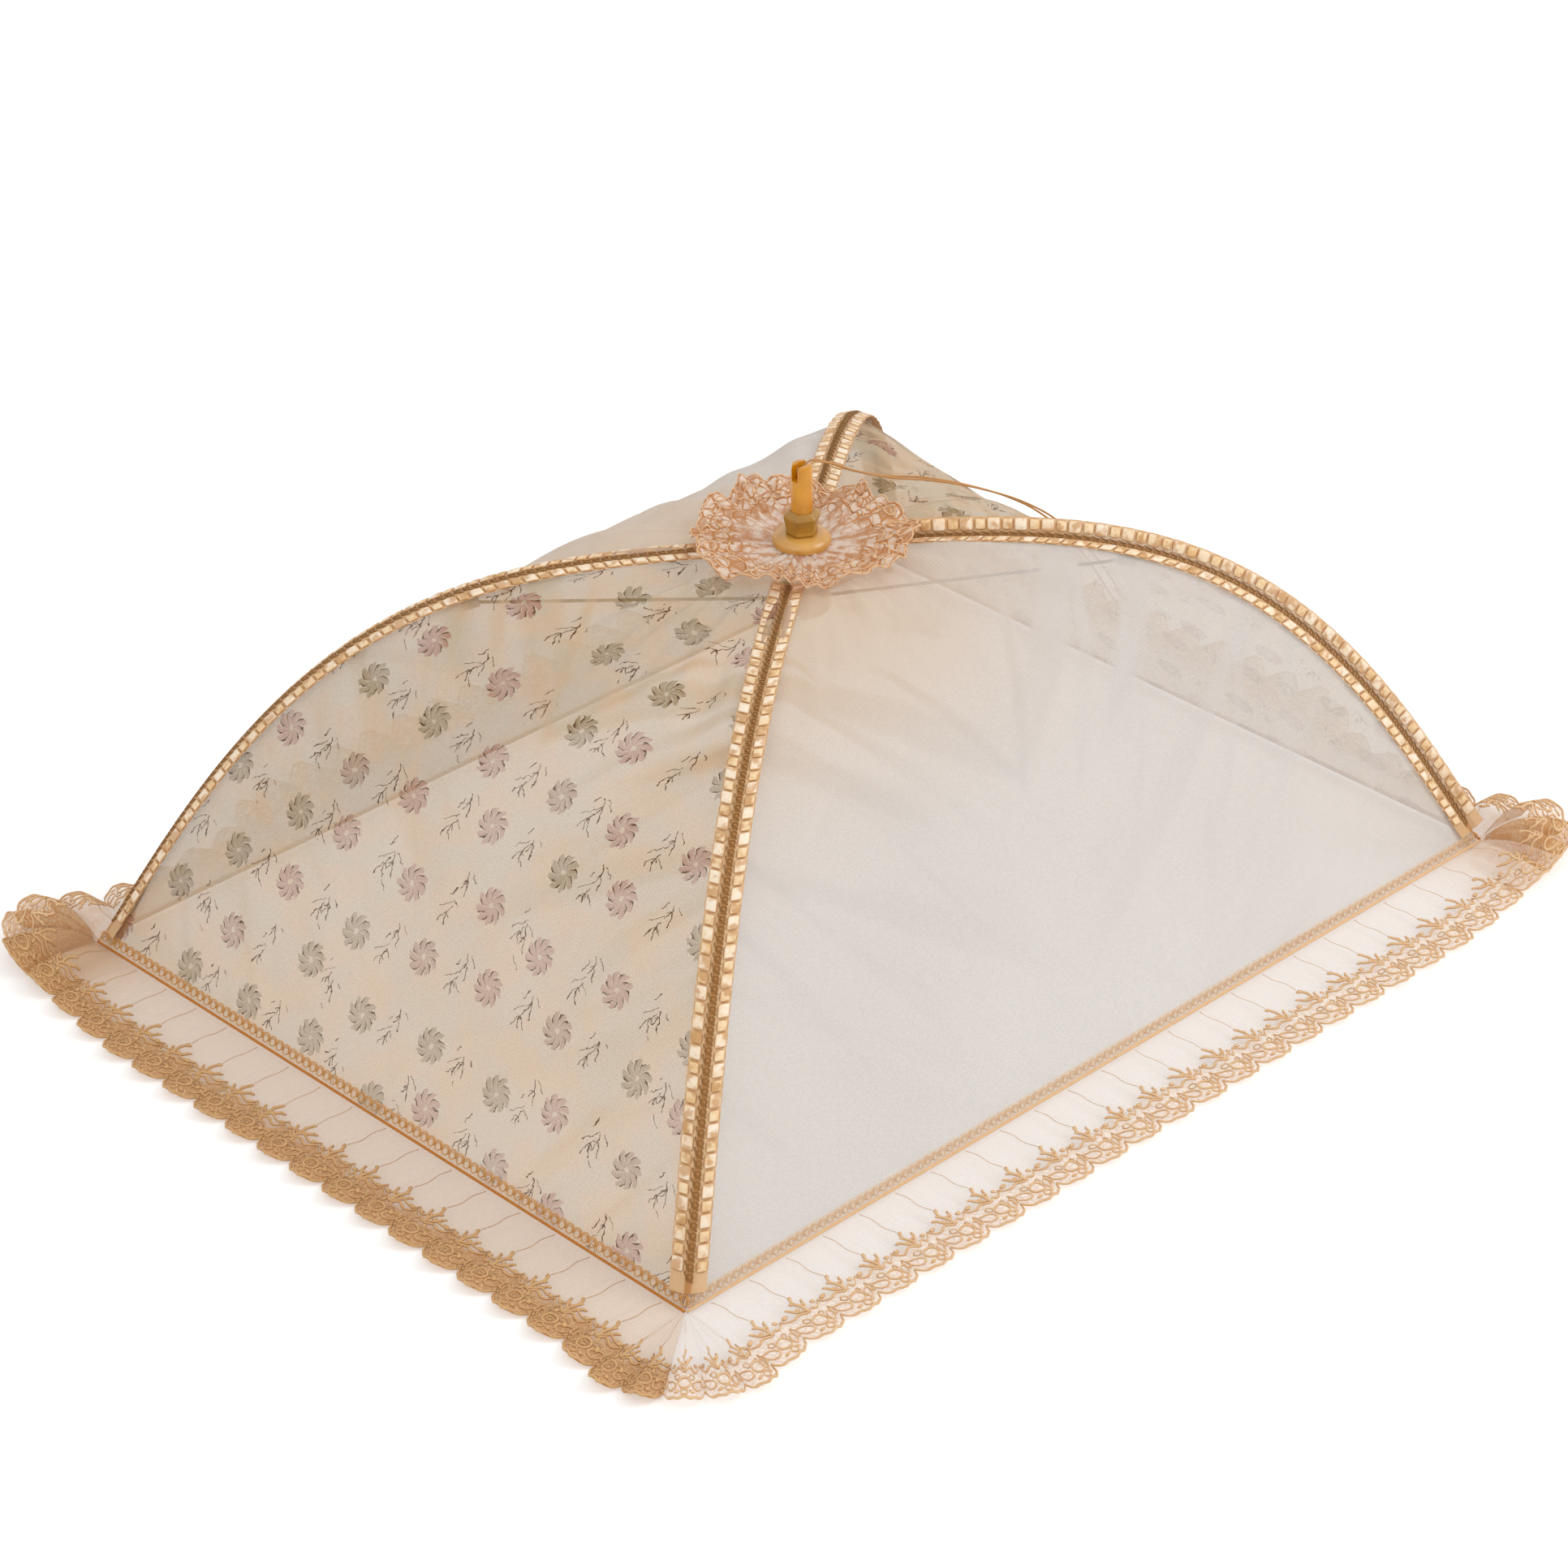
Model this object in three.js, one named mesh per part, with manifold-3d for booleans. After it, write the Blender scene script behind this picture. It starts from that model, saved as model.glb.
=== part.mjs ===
// Folding mesh food cover. Four sprung wire ribs hinge on a crown. Stretchers push them open from a
// runner that a cord pulls up under the crown. Four cloth panels hang on the ribs, each in two halves
// that meet on the panel's middle line, with a hem cord and a lace flounce along the bottom.
// Millimetres, +Z up, origin on the table under the crown. X runs along the long side.
import * as THREE from 'three';
import { mergeVertices } from 'three/addons/utils/BufferGeometryUtils.js';
import Module from 'manifold-3d';

const wasm = await Module();
wasm.setup();

// Cover: base rectangle at the hem, height of the cloth at the crown, and the rib's outline
const BASE_LENGTH = 800;
const BASE_WIDTH = 600;
const CROWN_HEIGHT = 284;
const HEM_HEIGHT = 3.5;
const PROFILE_POWER = 3.7;
const PROFILE_ROUND = 1.15;
const SEAT_GAP = 0.3;
const CUT_OVERRUN = 2;

// Cloth: thickness, how far each panel's middle sags, and the seams
const CLOTH_THICKNESS = 0.8;
const CROWN_OPENING = 14;
const SEAM_GAP = 0.3;
const RIB_SEAM = 0.9;
const PLAIN_NEAR_SAG = 7;
const PLAIN_FAR_SAG = 4;
const PRINTED_NEAR_SAG = 7;
const PRINTED_FAR_SAG = 18;
const SAG_POWER = 1.2;
const PANEL_COLUMNS = 4;

// Rib wire and its eye at the crown
const WIRE_RADIUS = 1.5;
const WIRE_SIDES = 8;
const HINGE_RADIUS = 13.5;
const HINGE_DROP = 6.8;
const BEND_END = 46;
const FOOT_INSET = 10;
const TIP_DEPTH = 4.4;
const TIP_EASE = 40;
const EYE_RADIUS = 3.2;
const EYE_EDGE_SHARE = 0.7;
const PIN_RADIUS = 1;
const HINGE_PIN_LENGTH = 9.4;
const SLOT_CLEARANCE = 0.4;

// Foot on each rib's end
const FOOT_RADIUS = 4;
const FOOT_SLEEVE = 14;
const FOOT_NOSE = 13;

// Crown: hub, tube that guides the cord, domed washer and hexagon collar
const HUB_RADIUS = 19;
const HUB_THICKNESS = 15.3;
const HUB_EDGE = 1.2;
const TUBE_RADIUS = 7.5;
const TUBE_BORE = 3.2;
const TUBE_RISE = 62.6;
const TUBE_EDGE = 0.8;
const FLANGE_RADIUS = 10;
const FLANGE_THICKNESS = 3;
const NOTCH_WIDTH = 5.6;
const NOTCH_DEPTH = 11.3;
const WASHER_RADIUS = 20.5;
const WASHER_NECK = 12.8;
const WASHER_HEIGHT = 8.7;
const WASHER_RIM = 3;
const COLLAR_HEIGHT = 17;
const COLLAR_FOOT = 11.6;
const COLLAR_WAIST = 11.2;
const COLLAR_SHOULDER = 13.4;
const COLLAR_TOP = 9.6;
const COLLAR_STEP_SHARES = [0, 0.12, 0.18, 0.75, 1];

// Stretchers, and the clip that pins each one to its rib
const CLIP_STATION = 232;
const CLIP_LENGTH = 12;
const CLIP_EAR = 1.6;
const CLIP_LIP = 0.3;
const CLIP_SKIRT = 0.9;
const PIVOT_DROP = 6.5;
const STRETCHER_RADIUS = 1.2;
const STRETCHER_EYE = 2.8;
const PIVOT_PIN_LENGTH = 7.4;

// Runner with an upright channel for each stretcher's cross pin
const RUNNER_PIVOT_RADIUS = 15;
const RUNNER_CLEAR = 15.2;
const RUNNER_RADIUS = 20;
const RUNNER_ABOVE = 6;
const RUNNER_BELOW = 8;
const CROSS_PIN_LENGTH = 8.4;
const CHANNEL_IN = 1.6;
const CHANNEL_OUT = 0.5;

// Cord: two strands from a knot under the runner, up the tube and out as a loop over the cloth
const CORD_RADIUS = 0.75;
const CORD_SIDES = 8;
const CORD_STEPS = 76;
const STRAND_SPREAD = 1.6;
const KNOT_RADIUS = 4.2;
const KNOT_HEIGHT_SHARE = 1.4;
const LIFT_DROP = 21.6;

// Tape along each rib, hem cord, flounce and rosette
const TAPE_HALF_WIDTH = 13.5;
const TAPE_FLATNESS = 0.5;
const TAPE_THICKNESS = 1;
const HEM_RADIUS = 1;
const HEM_SIDES = 6;
const HEM_END = 0.8;
const FLOUNCE_START = 3.1;
const FLOUNCE_WIDTH = 85;
const FLOUNCE_SCALLOP = 5;
const FLOUNCE_THICKNESS = 0.8;
const FLOUNCE_LOW = 1.6;
const FLOUNCE_WAVE = 6;
const FLOUNCE_PITCH = 33.4;
// The flounce is gathered up at the left and right corners and lies open at the front and rear ones
const GATHERED_REACH = 68;
const GATHERED_WAVE = 16;
const GATHERED_WAVES = 5;
const OPEN_REACH = 97;
const OPEN_WAVE = 8;
const OPEN_WAVES = 2;
const ROSETTE_RADIUS = 84;
const ROSETTE_THICKNESS = 0.8;
const ROSETTE_RISE = 2;
const ROSETTE_WAVE = 9;
const ROSETTE_SCALLOP = 5;
const ROSETTE_PLEATS = 12;

// Stations down a rib, as shares of its plan length: the second is where the tape starts, and the
// last but one is where it ends
const STATION_SHARES = [0.12, 0.25, 0.38, 0.48, 0.57, 0.65, 0.73, 0.8, 0.87, 0.935, 0.988, 1];
const SLOPE_END_SHARE = 0.985;

// Sizes that follow from those above
const REACH = Math.hypot(BASE_LENGTH, BASE_WIDTH) / 2;
const RIB_REACH = REACH - FOOT_INSET;
const LONG_SHARE = BASE_LENGTH / 2 / REACH;
const SHORT_SHARE = BASE_WIDTH / 2 / REACH;
const HALF_CLOTH = CLOTH_THICKNESS / 2;
const WIRE_DEPTH = HALF_CLOTH + SEAT_GAP + WIRE_RADIUS;
const HINGE_HEIGHT = CROWN_HEIGHT - WIRE_DEPTH - HINGE_DROP;
const PIN_BORE = PIN_RADIUS + SEAT_GAP;
const HUB_TOP = CROWN_HEIGHT - HALF_CLOTH - SEAT_GAP;
const HUB_BOTTOM = HUB_TOP - HUB_THICKNESS;
const ROSETTE_BOTTOM = CROWN_HEIGHT + HALF_CLOTH + SEAT_GAP;
const WASHER_BOTTOM = ROSETTE_BOTTOM + ROSETTE_THICKNESS + SEAT_GAP;
const COLLAR_BOTTOM = WASHER_BOTTOM + WASHER_HEIGHT + SEAT_GAP;
const TUBE_TOP = CROWN_HEIGHT + TUBE_RISE;
const FLANGE_TOP = HUB_BOTTOM - SEAT_GAP;
const FLANGE_BOTTOM = FLANGE_TOP - FLANGE_THICKNESS;
const TUBE_CLEAR = TUBE_RADIUS + SEAT_GAP;
const RUNNER_TOP = FLANGE_BOTTOM - RUNNER_CLEAR;
const RUNNER_PIVOT_HEIGHT = RUNNER_TOP - RUNNER_ABOVE;
const RUNNER_BOTTOM = RUNNER_PIVOT_HEIGHT - RUNNER_BELOW;
const LIFT_TOP = TUBE_TOP - LIFT_DROP;
const STATIONS = [CROWN_OPENING, ...STATION_SHARES.map((share) => share * REACH)];

// The four corners, as the signs of X and Y
const CORNERS = [
  { name: 'front', x: -1, y: -1 },
  { name: 'right', x: 1, y: -1 },
  { name: 'rear', x: 1, y: 1 },
  { name: 'left', x: -1, y: 1 },
];

// Materials
const finish = (color, roughness, metalness = 0) =>
  new THREE.MeshStandardMaterial({ color, roughness, metalness, side: THREE.DoubleSide });
const AMBER = finish(0xd9962b, 0.35);
const COLLAR_AMBER = finish(0xb08428, 0.45);
const TAN = finish(0xd6a45c, 0.4);
const HUB_PLASTIC = finish(0xcf9d55, 0.5);
const BLACK_WIRE = finish(0x2b2926, 0.45, 0.6);
const STEEL = finish(0x8f8c86, 0.35, 0.9);
const PLAIN_CLOTH = finish(0xddd8d2, 0.9);
const PRINTED_CLOTH = finish(0xd8cdc1, 0.9);
const LACE = finish(0xd9b078, 0.9);
const CORD_FINISH = finish(0xb9772f, 0.8);

const part = new THREE.Group();
part.name = 'food_cover';

function add(parent, name, geometry, material) {
  const mesh = new THREE.Mesh(geometry, material);
  mesh.name = name;
  parent.add(mesh);
  return mesh;
}

// Solids: joining, cutting and turning faces outwards

function bare(geometry) {
  const copy = geometry.clone();
  copy.deleteAttribute('normal');
  copy.deleteAttribute('uv');
  return mergeVertices(copy);
}

function facesOut(geometry) {
  const place = geometry.getAttribute('position');
  const index = geometry.getIndex().array;
  const [a, b, c] = [new THREE.Vector3(), new THREE.Vector3(), new THREE.Vector3()];
  let volume = 0;
  for (let i = 0; i < index.length; i += 3) {
    a.fromBufferAttribute(place, index[i]);
    b.fromBufferAttribute(place, index[i + 1]);
    c.fromBufferAttribute(place, index[i + 2]);
    volume += a.dot(b.cross(c));
  }
  if (volume < 0) {
    for (let i = 0; i < index.length; i += 3) {
      [index[i + 1], index[i + 2]] = [index[i + 2], index[i + 1]];
    }
  }
  return geometry;
}

function solid(geometry) {
  const merged = facesOut(bare(geometry));
  return new wasm.Manifold(new wasm.Mesh({
    numProp: 3,
    vertProperties: new Float32Array(merged.getAttribute('position').array),
    triVerts: new Uint32Array(merged.getIndex().array),
  }));
}

function shape(manifold) {
  const mesh = manifold.getMesh();
  const geometry = new THREE.BufferGeometry();
  geometry.setAttribute('position', new THREE.BufferAttribute(mesh.vertProperties, 3));
  geometry.setIndex(new THREE.BufferAttribute(mesh.triVerts, 1));
  geometry.computeVertexNormals();
  return geometry;
}

// A turned piece about Z, from [radius, height] points that start and end on the axis
function turned(points, sides) {
  const outline = points.map(([radius, height]) => new THREE.Vector2(radius, height));
  return new THREE.LatheGeometry(outline, sides).rotateX(Math.PI / 2);
}

const upright = (radius, bottom, top, sides) =>
  turned([[0, bottom], [radius, bottom], [radius, top], [0, top]], sides);

// A round pin or bore across a rib's plane, at a radius and height in that plane
const across = (radius, length, reach, height, sides) =>
  new THREE.CylinderGeometry(radius, radius, length, sides).translate(reach, 0, height);

function block(low, high) {
  const size = high.map((end, axis) => end - low[axis]);
  const middle = high.map((end, axis) => (end + low[axis]) / 2);
  return new THREE.BoxGeometry(...size).translate(...middle);
}

// A path with a bend at each of its points and straight runs between, one extrusion step to a run
class BentPath extends THREE.Curve {
  constructor(points) {
    super();
    this.points = points;
  }

  getPointAt(share) {
    const place = share * (this.points.length - 1);
    const before = Math.min(Math.floor(place), this.points.length - 2);
    return this.points[before].clone().lerp(this.points[before + 1], place - before);
  }

  getTangentAt(share) {
    const place = Math.round(share * (this.points.length - 1));
    const run = (from, to) => this.points[to].clone().sub(this.points[from]).normalize();
    const last = this.points.length - 1;
    const before = run(Math.max(place - 1, 0), Math.max(place, 1));
    return before.add(run(Math.min(place, last - 1), Math.min(place + 1, last))).normalize();
  }
}

// A round wire through points in a rib's plane, each [reach, height]
function wire(points, radius, sides) {
  const path = new BentPath(points.map(([reach, height]) => new THREE.Vector3(reach, 0, height)));
  return rod(path, radius, sides, points.length - 1);
}

function rod(path, radius, sides, steps) {
  const section = new THREE.Shape();
  for (let i = 0; i < sides; i++) {
    const angle = (2 * Math.PI * (i + 0.5)) / sides;
    const corner = [radius * Math.cos(angle), radius * Math.sin(angle)];
    if (i === 0) section.moveTo(...corner);
    else section.lineTo(...corner);
  }
  section.closePath();
  return new THREE.ExtrudeGeometry(section, { steps, bevelEnabled: false, extrudePath: path });
}

// A closed thin sheet from two grids of points, the upper and the lower, joined round their edges.
// A sheet that closes on itself has no end columns to join.
function sheet(upper, lower, closed = false) {
  const columns = upper.length;
  const rows = upper[0].length;
  const positions = [...upper.flat(), ...lower.flat()].flat();
  const index = [];
  const top = (i, j) => (i % columns) * rows + j;
  const bottom = (i, j) => columns * rows + top(i, j);
  const quad = (a, b, c, d) => index.push(a, b, c, a, c, d);
  const last = closed ? columns : columns - 1;
  for (let i = 0; i < last; i++) {
    for (let j = 0; j < rows - 1; j++) {
      quad(top(i, j), top(i + 1, j), top(i + 1, j + 1), top(i, j + 1));
      quad(bottom(i, j), bottom(i, j + 1), bottom(i + 1, j + 1), bottom(i + 1, j));
    }
    quad(top(i, 0), bottom(i, 0), bottom(i + 1, 0), top(i + 1, 0));
    quad(top(i, rows - 1), top(i + 1, rows - 1), bottom(i + 1, rows - 1), bottom(i, rows - 1));
  }
  if (!closed) {
    for (let j = 0; j < rows - 1; j++) {
      quad(top(0, j), top(0, j + 1), bottom(0, j + 1), bottom(0, j));
      quad(top(last, j), bottom(last, j), bottom(last, j + 1), top(last, j + 1));
    }
  }
  const geometry = new THREE.BufferGeometry();
  geometry.setAttribute('position', new THREE.Float32BufferAttribute(positions, 3));
  geometry.setIndex(index);
  facesOut(geometry);
  geometry.computeVertexNormals();
  return geometry;
}

// The rib's outline: height of the cloth over each rib, and its slope, from the crown to the hem

function ribHeight(reach) {
  const share = Math.min(reach / REACH, 1);
  const fall = (1 - share ** PROFILE_POWER) ** PROFILE_ROUND;
  return HEM_HEIGHT + (CROWN_HEIGHT - HEM_HEIGHT) * fall;
}

function ribSlope(reach) {
  const share = Math.min(reach / REACH, SLOPE_END_SHARE);
  const fall = (1 - share ** PROFILE_POWER) ** (PROFILE_ROUND - 1);
  const steepness = PROFILE_ROUND * PROFILE_POWER * share ** (PROFILE_POWER - 1);
  return (-(CROWN_HEIGHT - HEM_HEIGHT) * fall * steepness) / REACH;
}

// A point in a rib's plane, on the straight runs between the stations. Its depth is measured square to
// the plain panel, which falls away from the ridge more steeply than the printed one.
function underRib(reach, depth, drop = 0) {
  const next = Math.max(1, STATIONS.findIndex((station) => station >= reach));
  const [near, far] = [STATIONS[next - 1], STATIONS[next]];
  const share = (reach - near) / (far - near);
  const ends = [near, far].map((station) => {
    const slope = ribSlope(station);
    const length = Math.hypot(slope, 1);
    const inPlane = (depth * Math.hypot(slope / SHORT_SHARE, 1)) / length + drop;
    return [station + (inPlane * slope) / length, ribHeight(station) - inPlane / length];
  });
  return [0, 1].map((axis) => ends[0][axis] + share * (ends[1][axis] - ends[0][axis]));
}

const ease = (share) => {
  const held = Math.min(Math.max(share, 0), 1);
  return held * held * (3 - 2 * held);
};

// The wire runs under the cloth, dips to its hinge at the crown and draws in to its foot
function wirePoint(reach) {
  const tip = TIP_DEPTH * ease((reach - RIB_REACH + TIP_EASE) / TIP_EASE);
  const [x, z] = underRib(reach, WIRE_DEPTH, tip);
  const dip = HINGE_DROP * (1 - ease((reach - HINGE_RADIUS) / (BEND_END - HINGE_RADIUS)));
  return [x, z - dip];
}

const WIRE_START = HINGE_RADIUS + EYE_RADIUS * EYE_EDGE_SHARE;
const BEND_STEPS = 6;
const WIRE_STATIONS = [
  ...Array.from({ length: BEND_STEPS }, (_, i) =>
    WIRE_START + ((BEND_END - WIRE_START) * i) / BEND_STEPS),
  BEND_END,
  ...STATIONS.filter((station) => station > BEND_END && station < RIB_REACH - TIP_EASE),
  RIB_REACH - TIP_EASE,
  RIB_REACH - TIP_EASE / 2,
  RIB_REACH,
];

function ribWire() {
  const body = solid(wire(WIRE_STATIONS.map(wirePoint), WIRE_RADIUS, WIRE_SIDES));
  const eye = solid(across(EYE_RADIUS, 2 * WIRE_RADIUS, HINGE_RADIUS, HINGE_HEIGHT, 16));
  const bore = across(PIN_BORE, 2 * WIRE_RADIUS + CUT_OVERRUN, HINGE_RADIUS, HINGE_HEIGHT, 12);
  return shape(body.add(eye).subtract(solid(bore)));
}

// The foot is a round-nosed sleeve on the wire's end, cut flat where it stands on the table
function foot() {
  const end = wirePoint(RIB_REACH);
  const before = wirePoint(RIB_REACH - TIP_EASE / 2);
  const fall = Math.atan2(before[1] - end[1], end[0] - before[0]);
  const nose = Array.from({ length: 5 }, (_, i) => {
    const angle = ((Math.PI / 2) * i) / 4;
    return [FOOT_RADIUS * Math.sin(angle), -FOOT_NOSE - FOOT_RADIUS * Math.cos(angle)];
  });
  const outline = [...nose, [FOOT_RADIUS, FOOT_SLEEVE], [0, FOOT_SLEEVE]];
  const bore = upright(WIRE_RADIUS + SEAT_GAP, -SEAT_GAP, FOOT_SLEEVE + CUT_OVERRUN, WIRE_SIDES * 2);
  const along = (geometry) =>
    solid(geometry.rotateY(-Math.PI / 2 + fall).translate(end[0], 0, end[1]));
  const table = block(
    [end[0] - FOOT_SLEEVE * 2, -FOOT_SLEEVE, -FOOT_SLEEVE * 2],
    [end[0] + FOOT_SLEEVE * 2, FOOT_SLEEVE, 0],
  );
  return shape(along(turned(outline, 12)).subtract(along(bore)).subtract(solid(table)));
}

// The clip grips the wire from below, with two ears that hold the stretcher's pin
const clipPivot = underRib(CLIP_STATION, WIRE_DEPTH, PIVOT_DROP);
const clipTilt = -Math.atan(ribSlope(CLIP_STATION));

function clip() {
  const halfWidth = STRETCHER_RADIUS + SLOT_CLEARANCE + CLIP_EAR;
  const halfLength = CLIP_LENGTH / 2;
  const body = solid(block(
    [-halfLength, -halfWidth, -STRETCHER_EYE - CLIP_SKIRT],
    [halfLength, halfWidth, PIVOT_DROP + CLIP_LIP],
  ));
  const wireBore = upright(WIRE_RADIUS + SEAT_GAP, -CLIP_LENGTH, CLIP_LENGTH, WIRE_SIDES * 2)
    .rotateY(Math.PI / 2).translate(0, 0, PIVOT_DROP);
  const slotHalf = STRETCHER_RADIUS + SLOT_CLEARANCE;
  const slot = block(
    [-CLIP_LENGTH, -slotHalf, -CLIP_LENGTH],
    [CLIP_LENGTH, slotHalf, STRETCHER_EYE + SLOT_CLEARANCE],
  );
  const pinBore = across(PIN_BORE, 2 * halfWidth + CUT_OVERRUN, 0, 0, 12);
  return shape(body.subtract(solid(wireBore)).subtract(solid(slot)).subtract(solid(pinBore)));
}

// The stretcher lies along X from its outer eye at the origin to its cross pin at the runner
const stretcherRun = [
  RUNNER_PIVOT_RADIUS - clipPivot[0],
  RUNNER_PIVOT_HEIGHT - clipPivot[1],
];
const stretcherLength = Math.hypot(...stretcherRun);
const stretcherTurn = Math.atan2(-stretcherRun[1], stretcherRun[0]);

function stretcher() {
  const start = STRETCHER_EYE * EYE_EDGE_SHARE;
  const body = wire([[start, 0], [stretcherLength, 0]], STRETCHER_RADIUS, WIRE_SIDES);
  const eye = across(STRETCHER_EYE, 2 * STRETCHER_RADIUS, 0, 0, 14);
  const bore = across(PIN_BORE, 2 * STRETCHER_RADIUS + CUT_OVERRUN, 0, 0, 12);
  const crossPin = across(PIN_RADIUS, CROSS_PIN_LENGTH, stretcherLength, 0, 10);
  return shape(solid(body).add(solid(eye)).add(solid(crossPin)).subtract(solid(bore)));
}

// Four corners of the frame, each in its rib's upright plane, turned to its azimuth

for (const corner of CORNERS) {
  const plane = new THREE.Group();
  plane.rotation.z = Math.atan2(corner.y * SHORT_SHARE, corner.x * LONG_SHARE);
  add(plane, `rib_wire_${corner.name}`, ribWire(), BLACK_WIRE);
  add(plane, `rib_foot_${corner.name}`, foot(), TAN);
  const hingePin = across(PIN_RADIUS, HINGE_PIN_LENGTH, HINGE_RADIUS, HINGE_HEIGHT, 10);
  add(plane, `hinge_pin_${corner.name}`, hingePin, STEEL);

  const joint = new THREE.Group();
  joint.position.set(clipPivot[0], 0, clipPivot[1]);
  const held = add(joint, `rib_clip_${corner.name}`, clip(), STEEL);
  held.rotation.y = clipTilt;
  const pin = across(PIN_RADIUS, PIVOT_PIN_LENGTH, 0, 0, 10);
  add(joint, `stretcher_pin_${corner.name}`, pin, STEEL);
  const arm = add(joint, `stretcher_${corner.name}`, stretcher(), BLACK_WIRE);
  arm.rotation.y = stretcherTurn;
  plane.add(joint);
  part.add(plane);
}

// Crown

const cornerTurns = CORNERS.map((corner) =>
  Math.atan2(corner.y * SHORT_SHARE, corner.x * LONG_SHARE));

function cutAtCorners(body, cuts) {
  return cornerTurns.reduce(
    (left, turn) => cuts().reduce((rest, cut) => rest.subtract(solid(cut.rotateZ(turn))), left),
    body,
  );
}

function hub() {
  const body = solid(turned([
    [0, HUB_BOTTOM], [HUB_RADIUS - HUB_EDGE, HUB_BOTTOM], [HUB_RADIUS, HUB_BOTTOM + HUB_EDGE],
    [HUB_RADIUS, HUB_TOP - HUB_EDGE], [HUB_RADIUS - HUB_EDGE, HUB_TOP], [0, HUB_TOP],
  ], 24)).subtract(solid(upright(TUBE_CLEAR, HUB_BOTTOM - CUT_OVERRUN, HUB_TOP + CUT_OVERRUN, 20)));
  const half = WIRE_RADIUS + SLOT_CLEARANCE;
  const inner = HINGE_RADIUS - EYE_RADIUS - SLOT_CLEARANCE;
  return shape(cutAtCorners(body, () => [
    block(
      [inner, -half, HUB_BOTTOM - CUT_OVERRUN],
      [HUB_RADIUS + CUT_OVERRUN, half, HINGE_HEIGHT + EYE_RADIUS + 2 * SLOT_CLEARANCE],
    ),
    across(PIN_BORE, HINGE_PIN_LENGTH + 2 * SEAT_GAP, HINGE_RADIUS, HINGE_HEIGHT, 12),
  ]));
}

function guideTube() {
  const body = solid(turned([
    [0, FLANGE_BOTTOM], [FLANGE_RADIUS, FLANGE_BOTTOM], [FLANGE_RADIUS, FLANGE_TOP],
    [TUBE_RADIUS, FLANGE_TOP], [TUBE_RADIUS, TUBE_TOP - TUBE_EDGE],
    [TUBE_RADIUS - TUBE_EDGE, TUBE_TOP], [0, TUBE_TOP],
  ], 20));
  const bore = upright(TUBE_BORE, FLANGE_BOTTOM - CUT_OVERRUN, TUBE_TOP + CUT_OVERRUN, 12);
  const notch = block(
    [-TUBE_RADIUS - CUT_OVERRUN, -NOTCH_WIDTH / 2, TUBE_TOP - NOTCH_DEPTH],
    [TUBE_RADIUS + CUT_OVERRUN, NOTCH_WIDTH / 2, TUBE_TOP + CUT_OVERRUN],
  );
  return shape(body.subtract(solid(bore)).subtract(solid(notch)));
}

function washer() {
  const rise = Array.from({ length: 4 }, (_, i) => {
    const angle = ((Math.PI / 2) * i) / 3;
    return [
      WASHER_NECK + (WASHER_RADIUS - WASHER_NECK) * Math.cos(angle),
      WASHER_BOTTOM + WASHER_RIM + (WASHER_HEIGHT - WASHER_RIM) * Math.sin(angle),
    ];
  });
  const top = WASHER_BOTTOM + WASHER_HEIGHT;
  const body = solid(turned(
    [[0, WASHER_BOTTOM], [WASHER_RADIUS - HUB_EDGE, WASHER_BOTTOM], ...rise, [0, top]], 24));
  const bore = upright(TUBE_CLEAR, WASHER_BOTTOM - CUT_OVERRUN, top + CUT_OVERRUN, 20);
  return shape(body.subtract(solid(bore)));
}

// A six-sided collar, narrow at the waist and widest at the shoulder
function collar() {
  const levels = COLLAR_STEP_SHARES.map((share) => COLLAR_BOTTOM + share * COLLAR_HEIGHT);
  const [bottom, foot, waist, shoulder, top] = levels;
  const body = solid(turned([
    [0, bottom], [COLLAR_FOOT, bottom], [COLLAR_FOOT, foot], [COLLAR_WAIST, waist],
    [COLLAR_SHOULDER, shoulder], [COLLAR_TOP, top], [0, top],
  ], 6));
  const bore = upright(TUBE_CLEAR, COLLAR_BOTTOM - CUT_OVERRUN, top + CUT_OVERRUN, 20);
  return shape(body.subtract(solid(bore)));
}

add(part, 'crown_hub', hub(), HUB_PLASTIC);
add(part, 'guide_tube', guideTube(), AMBER);
add(part, 'domed_washer', washer(), TAN);
add(part, 'hexagon_collar', collar(), COLLAR_AMBER);

// Runner: a stretcher's cross pin rides in each upright channel, and its wire in the slot outside

const KNOT_BORE = STRAND_SPREAD + CORD_RADIUS + SEAT_GAP;

function runner() {
  const body = solid(turned([
    [0, RUNNER_BOTTOM], [RUNNER_RADIUS - HUB_EDGE, RUNNER_BOTTOM],
    [RUNNER_RADIUS, RUNNER_BOTTOM + HUB_EDGE], [RUNNER_RADIUS, RUNNER_TOP - HUB_EDGE],
    [RUNNER_RADIUS - HUB_EDGE, RUNNER_TOP], [0, RUNNER_TOP],
  ], 24)).subtract(
    solid(upright(KNOT_BORE, RUNNER_BOTTOM - CUT_OVERRUN, RUNNER_TOP + CUT_OVERRUN, 12)));
  const low = RUNNER_BOTTOM - CUT_OVERRUN;
  const high = RUNNER_TOP + CUT_OVERRUN;
  const channelHalf = CROSS_PIN_LENGTH / 2 + SLOT_CLEARANCE;
  const slotHalf = STRETCHER_RADIUS + SLOT_CLEARANCE;
  const inner = RUNNER_PIVOT_RADIUS - PIN_RADIUS - CHANNEL_IN;
  const outer = RUNNER_PIVOT_RADIUS + PIN_RADIUS + CHANNEL_OUT;
  return shape(cutAtCorners(body, () => [
    block([inner, -channelHalf, low], [outer, channelHalf, high]),
    block([RUNNER_PIVOT_RADIUS, -slotHalf, low], [RUNNER_RADIUS + CUT_OVERRUN, slotHalf, high]),
  ]));
}

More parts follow.
